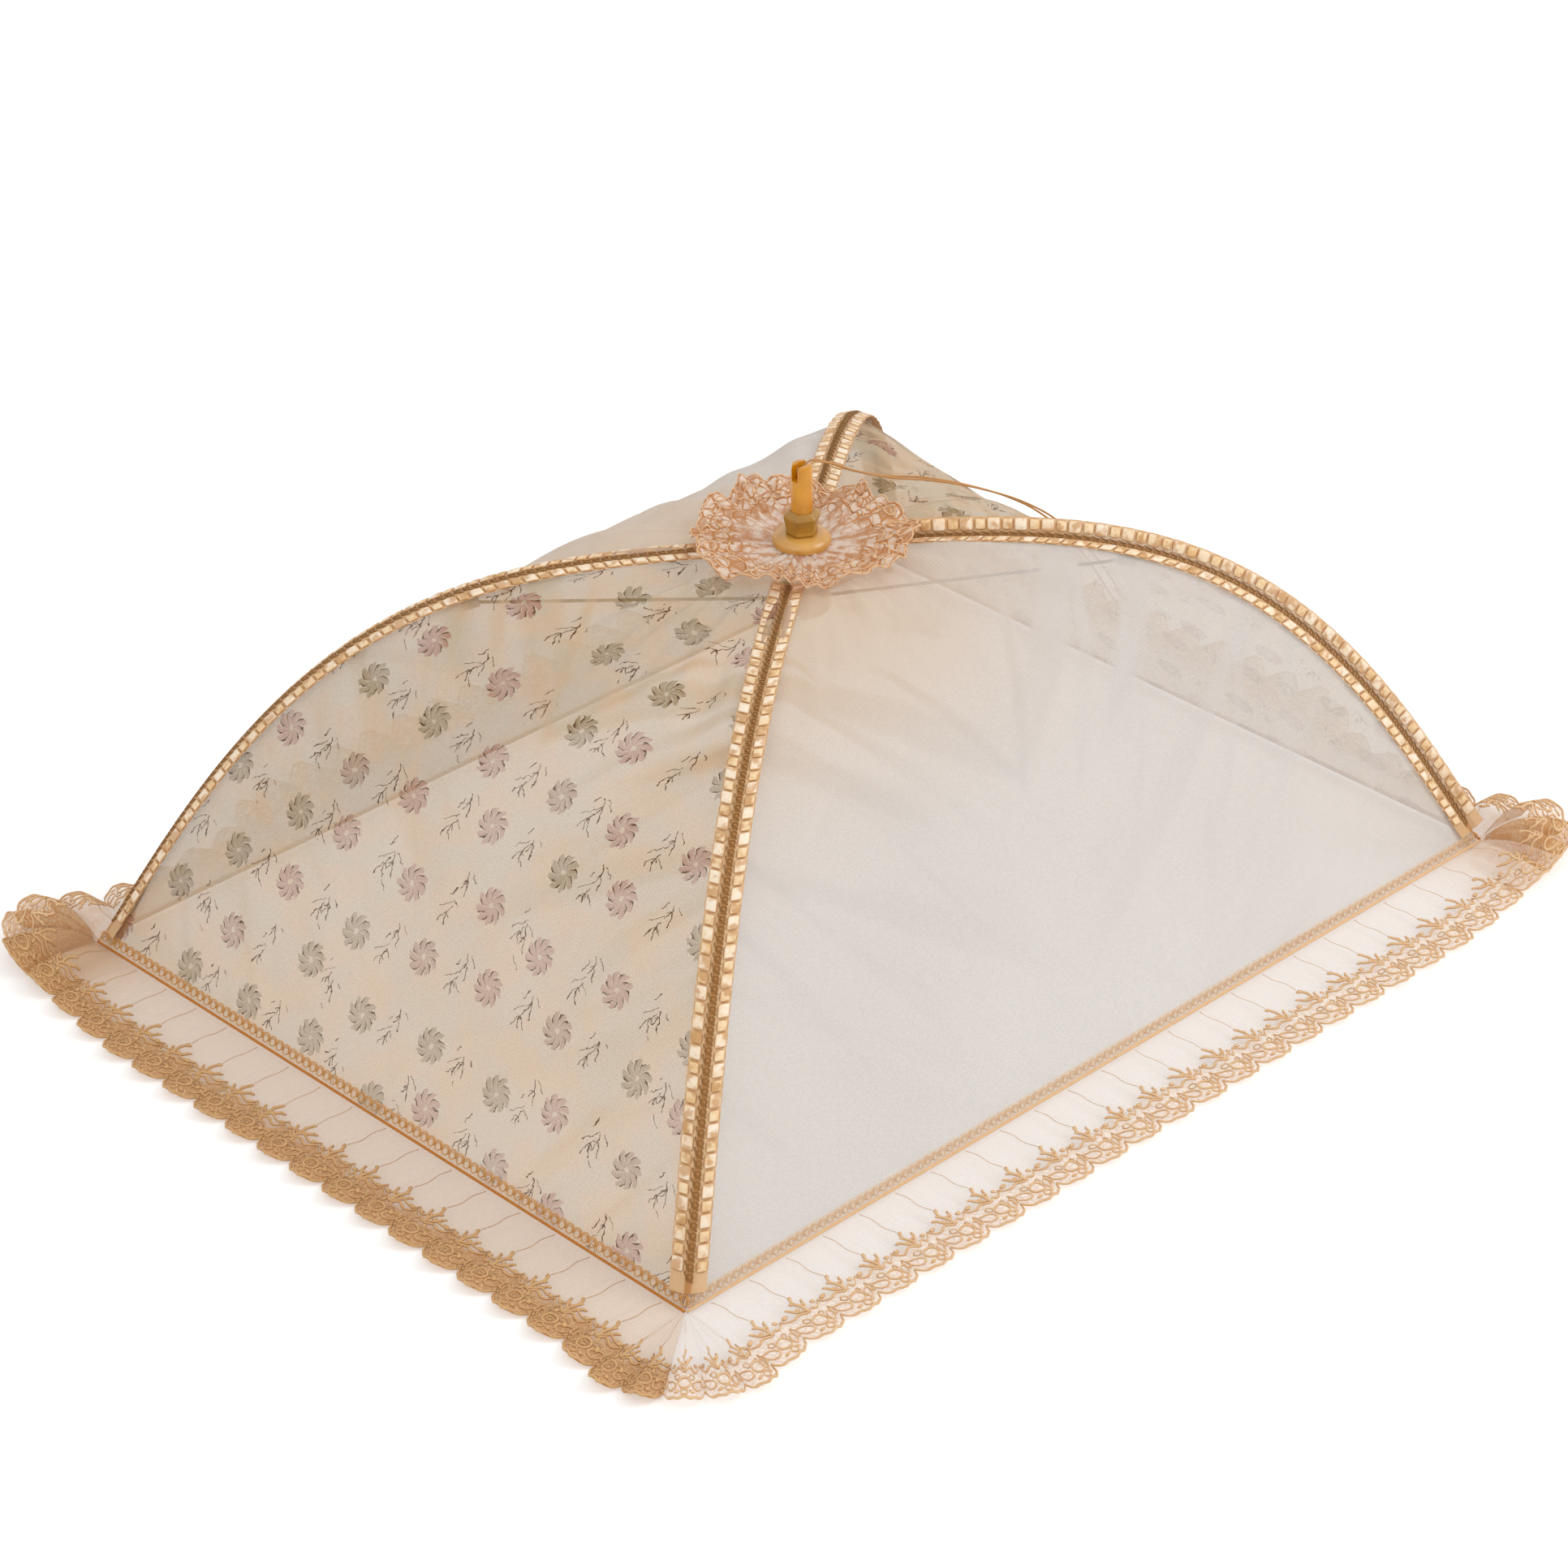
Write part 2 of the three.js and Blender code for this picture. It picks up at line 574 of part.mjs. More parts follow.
function liftCord() {
  const knotTop = RUNNER_BOTTOM - SEAT_GAP;
  const knotBottom = knotTop - KNOT_HEIGHT_SHARE * KNOT_RADIUS;
  const waist = (knotTop + knotBottom) / 2;
  const knot = solid(turned([
    [0, knotBottom], [KNOT_RADIUS * 0.6, knotBottom], [KNOT_RADIUS, waist],
    [KNOT_RADIUS * 0.7, knotTop], [0, knotTop],
  ], 12));
  const strands = [-1, 1].map((side) =>
    solid(upright(CORD_RADIUS, waist, LIFT_TOP, CORD_SIDES).translate(0, side * STRAND_SPREAD, 0)));
  return shape(knot.add(strands[0]).add(strands[1]));
}

add(part, 'runner', runner(), HUB_PLASTIC);
add(part, 'lift_cord', liftCord(), CORD_FINISH);

// The pull cord's route, chosen by hand: up out of the tube, over the notch, and down the far printed
// panel to the loop's end, then back beside itself into the tube
const PULL_CORD_ROUTE = [
  [0, 1.6, 325.3], [0, 1.6, 336], [1.5, 1.6, 341.5], [6, 1.6, 344.4], [12, 1.8, 344.6],
  [26, 3, 338], [52, 5, 321.5], [86, 6.5, 304], [122, 6, 290], [160, 5, 272], [195, 6, 252.5],
  [222, 8, 235.5], [250, 9, 215], [280, 8, 186.5], [310, 7, 149], [330, 6, 118.5],
  [343, 4, 99], [348, -1, 91.5], [343, -6, 99], [330, -8, 118.5], [310, -8, 149.5],
  [280, -7, 187], [250, -5, 216], [222, -4, 237], [195, -5, 254], [160, -6, 273.5],
  [122, -5, 291.5], [86, -3.5, 306], [52, -2.4, 323], [26, -1.8, 338.5], [12, -1.6, 344.6],
  [6, -1.6, 344.4], [1.5, -1.6, 341.5], [0, -1.6, 336], [0, -1.6, 325.3],
];

function pullCord() {
  const points = PULL_CORD_ROUTE.map((point) => new THREE.Vector3(...point));
  const path = new THREE.CatmullRomCurve3(points, false, 'centripetal');
  return facesOut(bare(rod(path, CORD_RADIUS, CORD_SIDES, CORD_STEPS)));
}

add(part, 'pull_cord', pullCord(), CORD_FINISH);

// Cloth. Each panel side has an outward direction, a sag and the share of a rib's plan reach that its
// middle line lies out from the axis. Each corner joins half of one plain and half of one printed side.

function panelSide(corner, kind) {
  const plain = kind === 'plain';
  const near = plain ? corner.y < 0 : corner.x < 0;
  return {
    out: plain ? [0, corner.y] : [corner.x, 0],
    along: plain ? [corner.x, 0] : [0, corner.y],
    outShare: plain ? SHORT_SHARE : LONG_SHARE,
    alongShare: plain ? LONG_SHARE : SHORT_SHARE,
    sag: plain ? (near ? PLAIN_NEAR_SAG : PLAIN_FAR_SAG) : (near ? PRINTED_NEAR_SAG : PRINTED_FAR_SAG),
  };
}

// The outward normal of a panel at a station, and of the ridge where two panels meet on a rib
function panelNormal(side, reach) {
  const slope = ribSlope(reach) / side.outShare;
  const length = Math.hypot(slope, 1);
  return new THREE.Vector3(-slope * side.out[0], -slope * side.out[1], 1).divideScalar(length);
}

function ridgeNormal(corner, reach) {
  const plain = panelNormal(panelSide(corner, 'plain'), reach);
  const printed = panelNormal(panelSide(corner, 'printed'), reach);
  return plain.clone().add(printed).divideScalar(1 + plain.dot(printed));
}

// How far the cloth bows in at a share from the rib to the middle line, straight between the columns
function bow(share) {
  const column = Math.min(Math.floor(share * PANEL_COLUMNS), PANEL_COLUMNS - 1);
  const depth = (at) => (at / PANEL_COLUMNS) * (2 - at / PANEL_COLUMNS);
  return depth(column) + (share * PANEL_COLUMNS - column) * (depth(column + 1) - depth(column));
}

// A point on a panel: reach down the rib, share from the rib (0) to the middle line (1), and height
// above the cloth's middle surface
function panelPoint(corner, side, reach, share, lift) {
  const fall = Math.max(reach - STATIONS[1], 0) / (REACH - STATIONS[1]);
  const sag = side.sag * Math.sin(Math.PI * fall ** SAG_POWER) * bow(share);
  const out = side.outShare * reach;
  const along = side.alongShare * reach * (1 - share);
  const normal = share > 0 ? panelNormal(side, reach) : ridgeNormal(corner, reach);
  return new THREE.Vector3(
    side.out[0] * out + side.along[0] * along,
    side.out[1] * out + side.along[1] * along,
    ribHeight(reach),
  ).addScaledVector(normal, lift - sag);
}

// The level direction across a rib's plane, towards one of its two panels
function awayFromRib(corner, side) {
  const rib = new THREE.Vector3(corner.x * LONG_SHARE, corner.y * SHORT_SHARE, 0);
  const across = new THREE.Vector3(-rib.y, rib.x, 0);
  const out = new THREE.Vector3(side.out[0], side.out[1], 0);
  return across.multiplyScalar(Math.sign(across.dot(out)));
}

function panelHalf(corner, side) {
  const along = new THREE.Vector3(side.along[0], side.along[1], 0);
  const grid = (lift) => STATIONS.map((reach) => {
    const seam = RIB_SEAM / (side.alongShare * reach);
    return Array.from({ length: PANEL_COLUMNS + 1 }, (_, j) => {
      const point = panelPoint(corner, side, reach, Math.max(seam, j / PANEL_COLUMNS), lift);
      if (j === PANEL_COLUMNS) point.addScaledVector(along, SEAM_GAP / 2);
      return point.toArray();
    });
  });
  return sheet(grid(HALF_CLOTH), grid(-HALF_CLOTH));
}

// The hem cord lies outside the cloth's bottom edge, and the plain side's cord covers the corner
const HEM_OFFSET = HALF_CLOTH + SEAT_GAP + HEM_RADIUS;

function hemHalf(corner, side, kind) {
  const half = side.alongShare * REACH;
  const length = kind === 'plain' ? half + HEM_END : half + HEM_OFFSET - HEM_RADIUS - SEAT_GAP;
  const out = side.outShare * REACH + HEM_OFFSET;
  const place = (along) => new THREE.Vector3(
    side.out[0] * out + side.along[0] * along,
    side.out[1] * out + side.along[1] * along,
    HEM_HEIGHT,
  );
  return facesOut(bare(
    rod(new THREE.LineCurve3(place(SEAM_GAP / 2), place(length)), HEM_RADIUS, HEM_SIDES, 1)));
}

// The flounce runs out from the hem in waves, one to each scallop, and fans out round the corner
function flounceHalf(corner, side) {
  const half = side.alongShare * REACH;
  const waves = Math.max(1, Math.round(half / FLOUNCE_PITCH));
  const out = new THREE.Vector3(side.out[0], side.out[1], 0);
  const along = new THREE.Vector3(side.along[0], side.along[1], 0);
  const rib = out.clone().multiplyScalar(side.outShare).addScaledVector(along, side.alongShare);
  const fan = out.angleTo(rib);
  const gathered = corner.name === 'left' || corner.name === 'right';
  const cornerReach = gathered ? GATHERED_REACH : OPEN_REACH;
  const cornerWave = gathered ? GATHERED_WAVE : OPEN_WAVE;
  const easeWaves = gathered ? GATHERED_WAVES : OPEN_WAVES;
  const fanWaves = Math.max(1, Math.round((fan * cornerReach) / FLOUNCE_PITCH));
  const inset = awayFromRib(corner, side);
  const columns = [];
  const stepsPerWave = 4;
  const total = (waves + fanWaves) * stepsPerWave;
  for (let i = 0; i <= total; i++) {
    const wave = i / stepsPerWave;
    const turn = wave > waves ? (fan * (wave - waves)) / fanWaves : 0;
    const base = out.clone().multiplyScalar(side.outShare * REACH)
      .addScaledVector(along, half * Math.min(wave / waves, 1));
    if (i === 0) base.addScaledVector(along, SEAM_GAP / 2);
    if (i === total) base.addScaledVector(inset, SEAM_GAP / 2);
    const heading = out.clone().multiplyScalar(Math.cos(turn)).addScaledVector(along, Math.sin(turn));
    columns.push({ base, heading, wave, corner: ease((wave - waves - 1) / easeWaves + 1) });
  }
  const rowShares = [0, 1];
  const grid = (lift) => columns.map(({ base, heading, wave, corner: nearness }) => {
    const crest = (1 - Math.cos(2 * Math.PI * wave)) / 2;
    const reach = FLOUNCE_WIDTH + (cornerReach - FLOUNCE_WIDTH) * nearness;
    const height = FLOUNCE_WAVE + (cornerWave - FLOUNCE_WAVE) * nearness;
    return rowShares.map((row) => {
      const distance = FLOUNCE_START + row * (reach - FLOUNCE_START - FLOUNCE_SCALLOP * (1 - crest));
      const rest = HEM_HEIGHT + (FLOUNCE_LOW - HEM_HEIGHT) * row;
      const z = rest + height * row * crest + lift;
      return [base.x + heading.x * distance, base.y + heading.y * distance, z];
    });
  });
  return sheet(grid(FLOUNCE_THICKNESS / 2), grid(-FLOUNCE_THICKNESS / 2));
}

// The tape straddles a rib and bends less sharply than the cloth, so its edges stand off the panels
function ribTape(corner) {
  const sides = ['plain', 'printed'].map((kind) => panelSide(corner, kind));
  const stations = STATIONS.slice(1, -1);
  const low = HALF_CLOTH + SEAT_GAP;
  const grid = (lift) => stations.map((reach) => {
    const ridge = panelPoint(corner, sides[0], reach, 0, lift);
    const edge = (side) => {
      const away = awayFromRib(corner, side).multiplyScalar(TAPE_HALF_WIDTH);
      return panelPoint(corner, side, reach, TAPE_HALF_WIDTH / (side.alongShare * reach), lift)
        .lerp(ridge.clone().add(away), TAPE_FLATNESS).toArray();
    };
    return [edge(sides[0]), ridge.toArray(), edge(sides[1])];
  });
  return sheet(grid(low + TAPE_THICKNESS), grid(low));
}

for (const corner of CORNERS) {
  add(part, `rib_tape_${corner.name}`, ribTape(corner), LACE);
  for (const kind of ['plain', 'printed']) {
    const side = panelSide(corner, kind);
    const cloth = kind === 'plain' ? PLAIN_CLOTH : PRINTED_CLOTH;
    add(part, `panel_${kind}_${corner.name}`, panelHalf(corner, side), cloth);
    add(part, `hem_${kind}_${corner.name}`, hemHalf(corner, side, kind), CORD_FINISH);
    add(part, `flounce_${kind}_${corner.name}`, flounceHalf(corner, side), LACE);
  }
}

// The rosette is a round of lace clamped under the washer, which rises clear of the tapes in pleats
function rosette() {
  const inner = TUBE_CLEAR;
  const rowShares = [0, 0.17, 0.5, 1];
  const stepsPerPleat = 4;
  const steps = ROSETTE_PLEATS * stepsPerPleat;
  const grid = (lift) => Array.from({ length: steps }, (_, i) => {
    const turn = (2 * Math.PI * i) / steps;
    const crest = (1 - Math.cos(turn * ROSETTE_PLEATS)) / 2;
    return rowShares.map((row) => {
      const radius = inner + row * (ROSETTE_RADIUS - inner - ROSETTE_SCALLOP * (1 - crest));
      const z = ROSETTE_RISE * ease(2 * (row - rowShares[1])) + ROSETTE_WAVE * row * row * crest;
      return [radius * Math.cos(turn), radius * Math.sin(turn), ROSETTE_BOTTOM + lift + z];
    });
  });
  return sheet(grid(ROSETTE_THICKNESS), grid(0), true);
}

add(part, 'rosette', rosette(), LACE);

export default part;
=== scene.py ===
"""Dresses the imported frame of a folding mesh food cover: sheer cloth, lace, cords, plastic and wire.

Every length is in metres, in the row frame: X along the long side, Y along the short side, +Z up.
"""

import math
from contextlib import contextmanager
from functools import partial

import bmesh
import bpy
import numpy as np
from mathutils import Matrix, Vector


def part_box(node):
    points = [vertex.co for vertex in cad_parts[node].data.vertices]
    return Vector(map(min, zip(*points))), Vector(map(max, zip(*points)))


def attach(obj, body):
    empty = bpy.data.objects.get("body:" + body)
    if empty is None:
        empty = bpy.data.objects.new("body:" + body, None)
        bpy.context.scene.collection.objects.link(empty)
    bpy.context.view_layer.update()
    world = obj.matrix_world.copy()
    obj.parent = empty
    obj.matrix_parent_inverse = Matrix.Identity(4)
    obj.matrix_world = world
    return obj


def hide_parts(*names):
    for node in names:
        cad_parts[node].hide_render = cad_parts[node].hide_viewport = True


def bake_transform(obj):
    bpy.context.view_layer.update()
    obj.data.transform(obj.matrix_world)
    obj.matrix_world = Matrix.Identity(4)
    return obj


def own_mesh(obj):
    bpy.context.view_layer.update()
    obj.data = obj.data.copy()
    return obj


bl_info = {
    "name": "Mesh food cover",
    "version": (1, 0, 0),
    "blender": (4, 5, 0),
    "location": "3D View > Sidebar > Food cover",
    "description": "Builds the cloth, lace, cords and fittings of a folding mesh food cover",
    "category": "Object",
}

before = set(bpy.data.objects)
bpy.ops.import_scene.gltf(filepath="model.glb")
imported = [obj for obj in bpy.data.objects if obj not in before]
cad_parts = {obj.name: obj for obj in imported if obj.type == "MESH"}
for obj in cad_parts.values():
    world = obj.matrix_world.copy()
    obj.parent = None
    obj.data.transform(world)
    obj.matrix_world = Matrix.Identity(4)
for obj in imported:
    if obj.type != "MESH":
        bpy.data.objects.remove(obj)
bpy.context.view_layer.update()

MM = 0.001
UP = np.array([0.0, 0.0, 1.0])
WHITE = (1.0, 1.0, 1.0, 1.0)

# The cover's outline, as its CAD source has it: half sides of the base, the height of the cloth over
# the ribs, and the stations at which the crown starts and the cloth ends
HALF_LENGTH = 0.400
HALF_WIDTH = 0.300
CROWN_HEIGHT = 0.284
HEM_HEIGHT = 0.0035
PROFILE_POWER = 3.7
PROFILE_ROUND = 1.15
SLOPE_END_SHARE = 0.985
CROWN_OPENING = 0.014
SAG_START = 0.060
SAG_POWER = 1.2
REACH = math.hypot(HALF_LENGTH, HALF_WIDTH)
LONG_SHARE = HALF_LENGTH / REACH
SHORT_SHARE = HALF_WIDTH / REACH

# Rib wire, under the cloth: its depth, the dip to its hinge and the draw-in to its foot
WIRE_RADIUS = 0.0015
WIRE_DEPTH = 0.0022
HINGE_RADIUS = 0.0135
HINGE_DROP = 0.0068
HINGE_HEIGHT = CROWN_HEIGHT - WIRE_DEPTH - HINGE_DROP
BEND_END = 0.046
RIB_REACH = 0.490
TIP_DEPTH = 0.0044
TIP_EASE = 0.040
EYE_RADIUS = 0.0032
EYE_WIRE = 0.0009

# Stretcher wire: its ends as distance from the axis and height, its eye on the rib's clip, and half the
# length of its cross pin in the runner
STRETCHER_INNER = (0.015, 0.2435)
STRETCHER_OUTER = (0.22945, 0.2562553)
STRETCHER_RADIUS = 0.0012
STRETCHER_START = 0.0022
STRETCHER_EYE = 0.0019
CROSS_PIN_HALF = 0.0042
CROSS_PIN_RADIUS = 0.001

# The corners, by the signs of X and Y, and how far the middle of each panel sags
CORNERS = {"front": (-1, -1), "right": (1, -1), "rear": (1, 1), "left": (-1, 1)}
KINDS = ("plain", "printed")
SAGS = {("plain", -1): 0.007, ("plain", 1): 0.004, ("printed", -1): 0.007, ("printed", 1): 0.018}

# Hem and flounce, as the CAD solids have them. One wave of the flounce is one scallop of its lace
HEM_OUT = 0.0017
HEM_ENDS = {"plain": 0.0008, "printed": 0.0004}
HEM_BAND_HEIGHT = 0.0058
PITCH = 1 / 30
WAVES = {"plain": 12, "printed": 9}
FLOUNCE_START = 0.0031
FLOUNCE_WIDTH = 0.085
FLOUNCE_LOW = 0.0016
FLOUNCE_WAVE = 0.006
GATHERED = ("left", "right")
GATHERED_CORNER = {"fan": {"plain": 2, "printed": 1}, "reach": 0.068, "wave": 0.016, "ease": 5}
OPEN_CORNER = {"fan": {"plain": 3, "printed": 2}, "reach": 0.097, "wave": 0.008, "ease": 2}
LACE_DEPTH = 0.082

# Looks of the flounce's cloth that its CAD solid leaves out: scallops, fine gathers, the round lobes of
# a gathered corner, and how a far side is drawn in near it
SCALLOP_DEPTH = 0.013
SCALLOP_ROUND = 0.75
GATHER = 0.0007
LOBE_ROUND = 0.42
LOBE_PUFF = 0.013
LOBE_SHIFT = 0.0062
LOBE_DENSITY = {("right", "printed"): 0.45}
DRAWN_IN = 0.037
DRAWN_DROP = 0.002
DRAWN_FROM = 6.5
DRAWN_EASE = 2.5

# Rib tapes. Flatness is 0 where a half lies on the cloth and 1 where it stays in the tape's own plane.
# The right tape's outer half stands up at an angle
TAPE_START = 0.060
TAPE_END = 0.494
TAPE_HALF = 0.0135
TAPE_LIFT = 0.0012
TAPE_FLATNESS = 0.5
RIGHT_TAPE_FLATNESS = {"plain": 0.1, "printed": 1.0}
RIGHT_TAPE_STANDING = math.radians(58)
TAB_ACROSS = 0.0086

ROSETTE_INNER = 0.0078
ROSETTE_RADIUS = 0.084
ROSETTE_BOTTOM = 0.2847
ROSETTE_PLEATS = 12
ROSETTE_REPEATS = 16
ROSETTE_WAVE = 0.009
ROSETTE_SCALLOP = 0.005
ROSETTE_UNEVEN = 0.009

# The cut of the finial's fittings. Their heights and widths come from the frame
FITTING_BORE = 0.0078
TUBE_BORE = 0.0034
TUBE_RADIUS = 0.0075
TUBE_FLANGE = 0.003
NOTCH_HALF = 0.0028
NOTCH_DEPTH = 0.0113
WASHER_NECK = 0.0128
WASHER_RIM = 0.003
BEVEL_FROM = math.radians(25)
SHARP_FROM = math.radians(32)
# The collar's outline: radius in millimetres and share of its height
COLLAR_OUTLINE = ((11.6, 0.0), (11.6, 0.12), (11.2, 0.18), (13.4, 0.75), (9.6, 1.0))

# The cord's route from the CAD source, in millimetres, and its radius in metres
CORD_RADIUS = 0.00075
STRAND_OFFSET = 0.0016
PULL_CORD_ROUTE = [
    (0, 1.6, 325.3), (0, 1.6, 336), (1.5, 1.6, 341.5), (6, 1.6, 344.4), (12, 1.8, 344.6),
    (26, 3, 338), (52, 5, 321.5), (86, 6.5, 304), (122, 6, 290), (160, 5, 272), (195, 6, 252.5),
    (222, 8, 235.5), (250, 9, 215), (280, 8, 186.5), (310, 7, 149), (330, 6, 118.5),
    (343, 4, 99), (348, -1, 91.5), (343, -6, 99), (330, -8, 118.5), (310, -8, 149.5),
    (280, -7, 187), (250, -5, 216), (222, -4, 237), (195, -5, 254), (160, -6, 273.5),
    (122, -5, 291.5), (86, -3.5, 306), (52, -2.4, 323), (26, -1.8, 338.5), (12, -1.6, 344.6),
    (6, -1.6, 344.4), (1.5, -1.6, 341.5), (0, -1.6, 336), (0, -1.6, 325.3),
]
# Turns of the knot: radius in millimetres, height over the cord's low end, and phase
KNOT_TURNS = ((2.9, 0.0013, 0.2), (3.2, 0.0030, 1.3), (2.8, 0.0046, 2.3))

# Lamps: name, place, side and share of the key lamp's power
LAMPS = (("key_lamp", (1.9, -2.3, 2.6), 2.2, 1.0), ("fill_lamp", (-2.6, -0.6, 2.2), 2.6, 0.35))
LAMP_AIM = Vector((0.0, 0.0, 0.15))
SENSOR_WIDTH = 36.0
CAMERA_SIGHT = 50.0
FLOOR_HALF = 12.0
FLOOR_GLOW = 0.30


# The cover's form

def ease(share):
    held = np.clip(share, 0.0, 1.0)
    return held * held * (3.0 - 2.0 * held)


def rib_height(reach):
    share = np.minimum(np.asarray(reach, float) / REACH, 1.0)
    fall = (1.0 - share ** PROFILE_POWER) ** PROFILE_ROUND
    return HEM_HEIGHT + (CROWN_HEIGHT - HEM_HEIGHT) * fall


def rib_slope(reach):
    share = np.minimum(np.asarray(reach, float) / REACH, SLOPE_END_SHARE)
    fall = (1.0 - share ** PROFILE_POWER) ** (PROFILE_ROUND - 1.0)
    steepness = PROFILE_ROUND * PROFILE_POWER * share ** (PROFILE_POWER - 1.0)
    return -(CROWN_HEIGHT - HEM_HEIGHT) * fall * steepness / REACH


def rib_directions(corner):
    """Outward along a corner's rib, and level across it."""
    sign_x, sign_y = CORNERS[corner]
    outward = np.array([sign_x * LONG_SHARE, sign_y * SHORT_SHARE, 0.0])
    return outward, np.cross(UP, outward)


def unit(vectors):
    return vectors / np.linalg.norm(vectors, axis=-1, keepdims=True)


def running_length(steps):
    return np.concatenate([[0.0], np.cumsum(steps)])


def pairs(first, second):
    """UV places from two arrays that broadcast together."""
    return np.stack(np.broadcast_arrays(first, second), -1)


class Side:
    """One panel half at a corner: its outward and its along direction, its sag and its flounce."""

    def __init__(self, corner, kind):
        sign_x, sign_y = CORNERS[corner]
        by_x, by_y = np.array([sign_x, 0.0, 0.0]), np.array([0.0, sign_y, 0.0])
        plain = kind == "plain"
        self.corner, self.kind, self.name = corner, kind, f"{kind}_{corner}"
        self.out, self.along = (by_y, by_x) if plain else (by_x, by_y)
        shares = (SHORT_SHARE, LONG_SHARE)
        self.out_share, self.along_share = shares if plain else shares[::-1]
        self.out_reach = self.out_share * REACH
        self.half = self.along_share * REACH
        self.sign = sign_x if plain else sign_y
        self.sag = SAGS[kind, sign_y if plain else sign_x]
        across = rib_directions(corner)[1]
        self.across = across * np.sign(across @ self.out)
        self.gathered = corner in GATHERED
        self.turn = GATHERED_CORNER if self.gathered else OPEN_CORNER
        self.fan = math.acos(self.out_share)
        self.fan_waves = self.turn["fan"][kind]
        self.waves = WAVES[kind]
        self.last_wave = self.waves + self.fan_waves
        self.drawn_in = float(self.gathered and self.out.sum() > 0)

    def normal(self, reach):
        slope = rib_slope(reach) / self.out_share
        length = np.hypot(slope, 1.0)
        return -(slope / length)[..., None] * self.out + (1.0 / length)[..., None] * UP

    def point(self, reach, share, lift=0.0):
        """A point of the panel: reach down the rib, share from the rib (0) to the middle line (1)."""
        reach, share = np.broadcast_arrays(np.asarray(reach, float), np.asarray(share, float))
        fall = np.clip((reach - SAG_START) / (REACH - SAG_START), 0.0, 1.0)
        sag = self.sag * np.sin(np.pi * fall ** SAG_POWER) * share * (2.0 - share)
        base = (
            (self.out_share * reach)[..., None] * self.out
            + (self.along_share * reach * (1.0 - share))[..., None] * self.along
            + rib_height(reach)[..., None] * UP
        )
        return base + (lift - sag)[..., None] * self.normal(reach)

    def folds(self, reach, share):
        """How far soft tension folds lift the cloth, the same on both sides of the middle line. Each
        layer is a wave so many millimetres high, and its phase runs across and down the panel."""
        turn = self.sign * (1.0 - share)
        fall = reach / REACH
        held = ease(share / 0.12) * ease((fall - 0.1) / 0.15) * ease((1.0 - fall) / 0.06)
        upper = ease((0.8 - fall) / 0.5)
        wide = 1.5 * np.sin(6.3 * turn + 5.0 * fall + 0.7) * np.sin(2.6 * fall + 0.4)
        fine = 1.9 * np.sin(17.0 * turn - 9.0 * fall) * upper
        sharp = 1.4 * np.sin(31.0 * turn + 13.0 * fall + 2.0 * np.sin(5.0 * turn)) * upper ** 2
        slack = 0.8 * np.sin(11.0 * fall + 3.0 * turn + 1.9)
        return MM * held * (wide + fine + sharp + slack)

    def veil(self, reach, share):
        reach, share = np.broadcast_arrays(np.asarray(reach, float), np.asarray(share, float))
        return self.point(reach, share, self.folds(reach, share))

    def nearness(self, wave):
        """0 along the hem and 1 at the corner, where the flounce is gathered or lies open."""
        return ease((wave - self.waves - 1.0) / self.turn["ease"] + 1.0)

    def lobes(self, wave):
        """1 where the flounce puffs out in round lobes, in the last of a gathered corner."""
        return self.nearness(wave) ** 3 if self.gathered else np.zeros_like(wave)

    def flounce(self, wave, row):
        """A point of the flounce: wave along the hem from the middle line, row from hem to edge."""
        wave, row = np.broadcast_arrays(wave, row)
        angle = self.fan * np.maximum(wave - self.waves, 0.0) / self.fan_waves
        along = self.half * np.minimum(wave / self.waves, 1.0)
        cosine, sine = np.cos(angle)[..., None], np.sin(angle)[..., None]
        heading = cosine * self.out + sine * self.along
        sideways = cosine * self.along - sine * self.out
        crest = (1.0 - np.cos(2.0 * np.pi * wave)) / 2.0
        near = self.nearness(wave)
        lobes = self.lobes(wave)
        drawn = self.drawn_in * ease((wave - self.waves + DRAWN_FROM) / DRAWN_EASE) * (1.0 - lobes)
        reach = FLOUNCE_WIDTH + (self.turn["reach"] - FLOUNCE_WIDTH) * near - DRAWN_IN * drawn
        standing = lobes if self.gathered else near
        height = FLOUNCE_WAVE + (self.turn["wave"] - FLOUNCE_WAVE) * standing - DRAWN_DROP * drawn
        roundness = SCALLOP_ROUND + (LOBE_ROUND - SCALLOP_ROUND) * lobes
        hollow = 1.0 - np.abs(np.sin(np.pi * wave)) ** roundness
        scallop = SCALLOP_DEPTH * hollow * (1.0 - 0.4 * drawn)
        distance = FLOUNCE_START + row * (reach - FLOUNCE_START - scallop)
        held = np.clip(row, 0.0, 1.0)
        gathers = GATHER * np.sin(6.0 * np.pi * wave + 1.3 * np.sin(wave)) * held * (1.0 - held) * 4.0
        puff = LOBE_PUFF * lobes * np.sin(np.pi * held ** 0.8) * (0.3 + 0.7 * crest ** 0.6)
        rest = HEM_HEIGHT + (FLOUNCE_LOW - HEM_HEIGHT) * row
        rise = rest + height * row * crest ** (1.0 - 0.4 * lobes) + GATHER * held + gathers + puff
        shift = -LOBE_SHIFT * lobes * held * np.sin(2.0 * np.pi * wave)
        base = self.out * self.out_reach + along[..., None] * self.along
        return base + distance[..., None] * heading + shift[..., None] * sideways + rise[..., None] * UP


SIDES = [Side(corner, kind) for corner in CORNERS for kind in KINDS]
SIDE_OF = {(side.corner, side.kind): side for side in SIDES}


# Settings a user would change

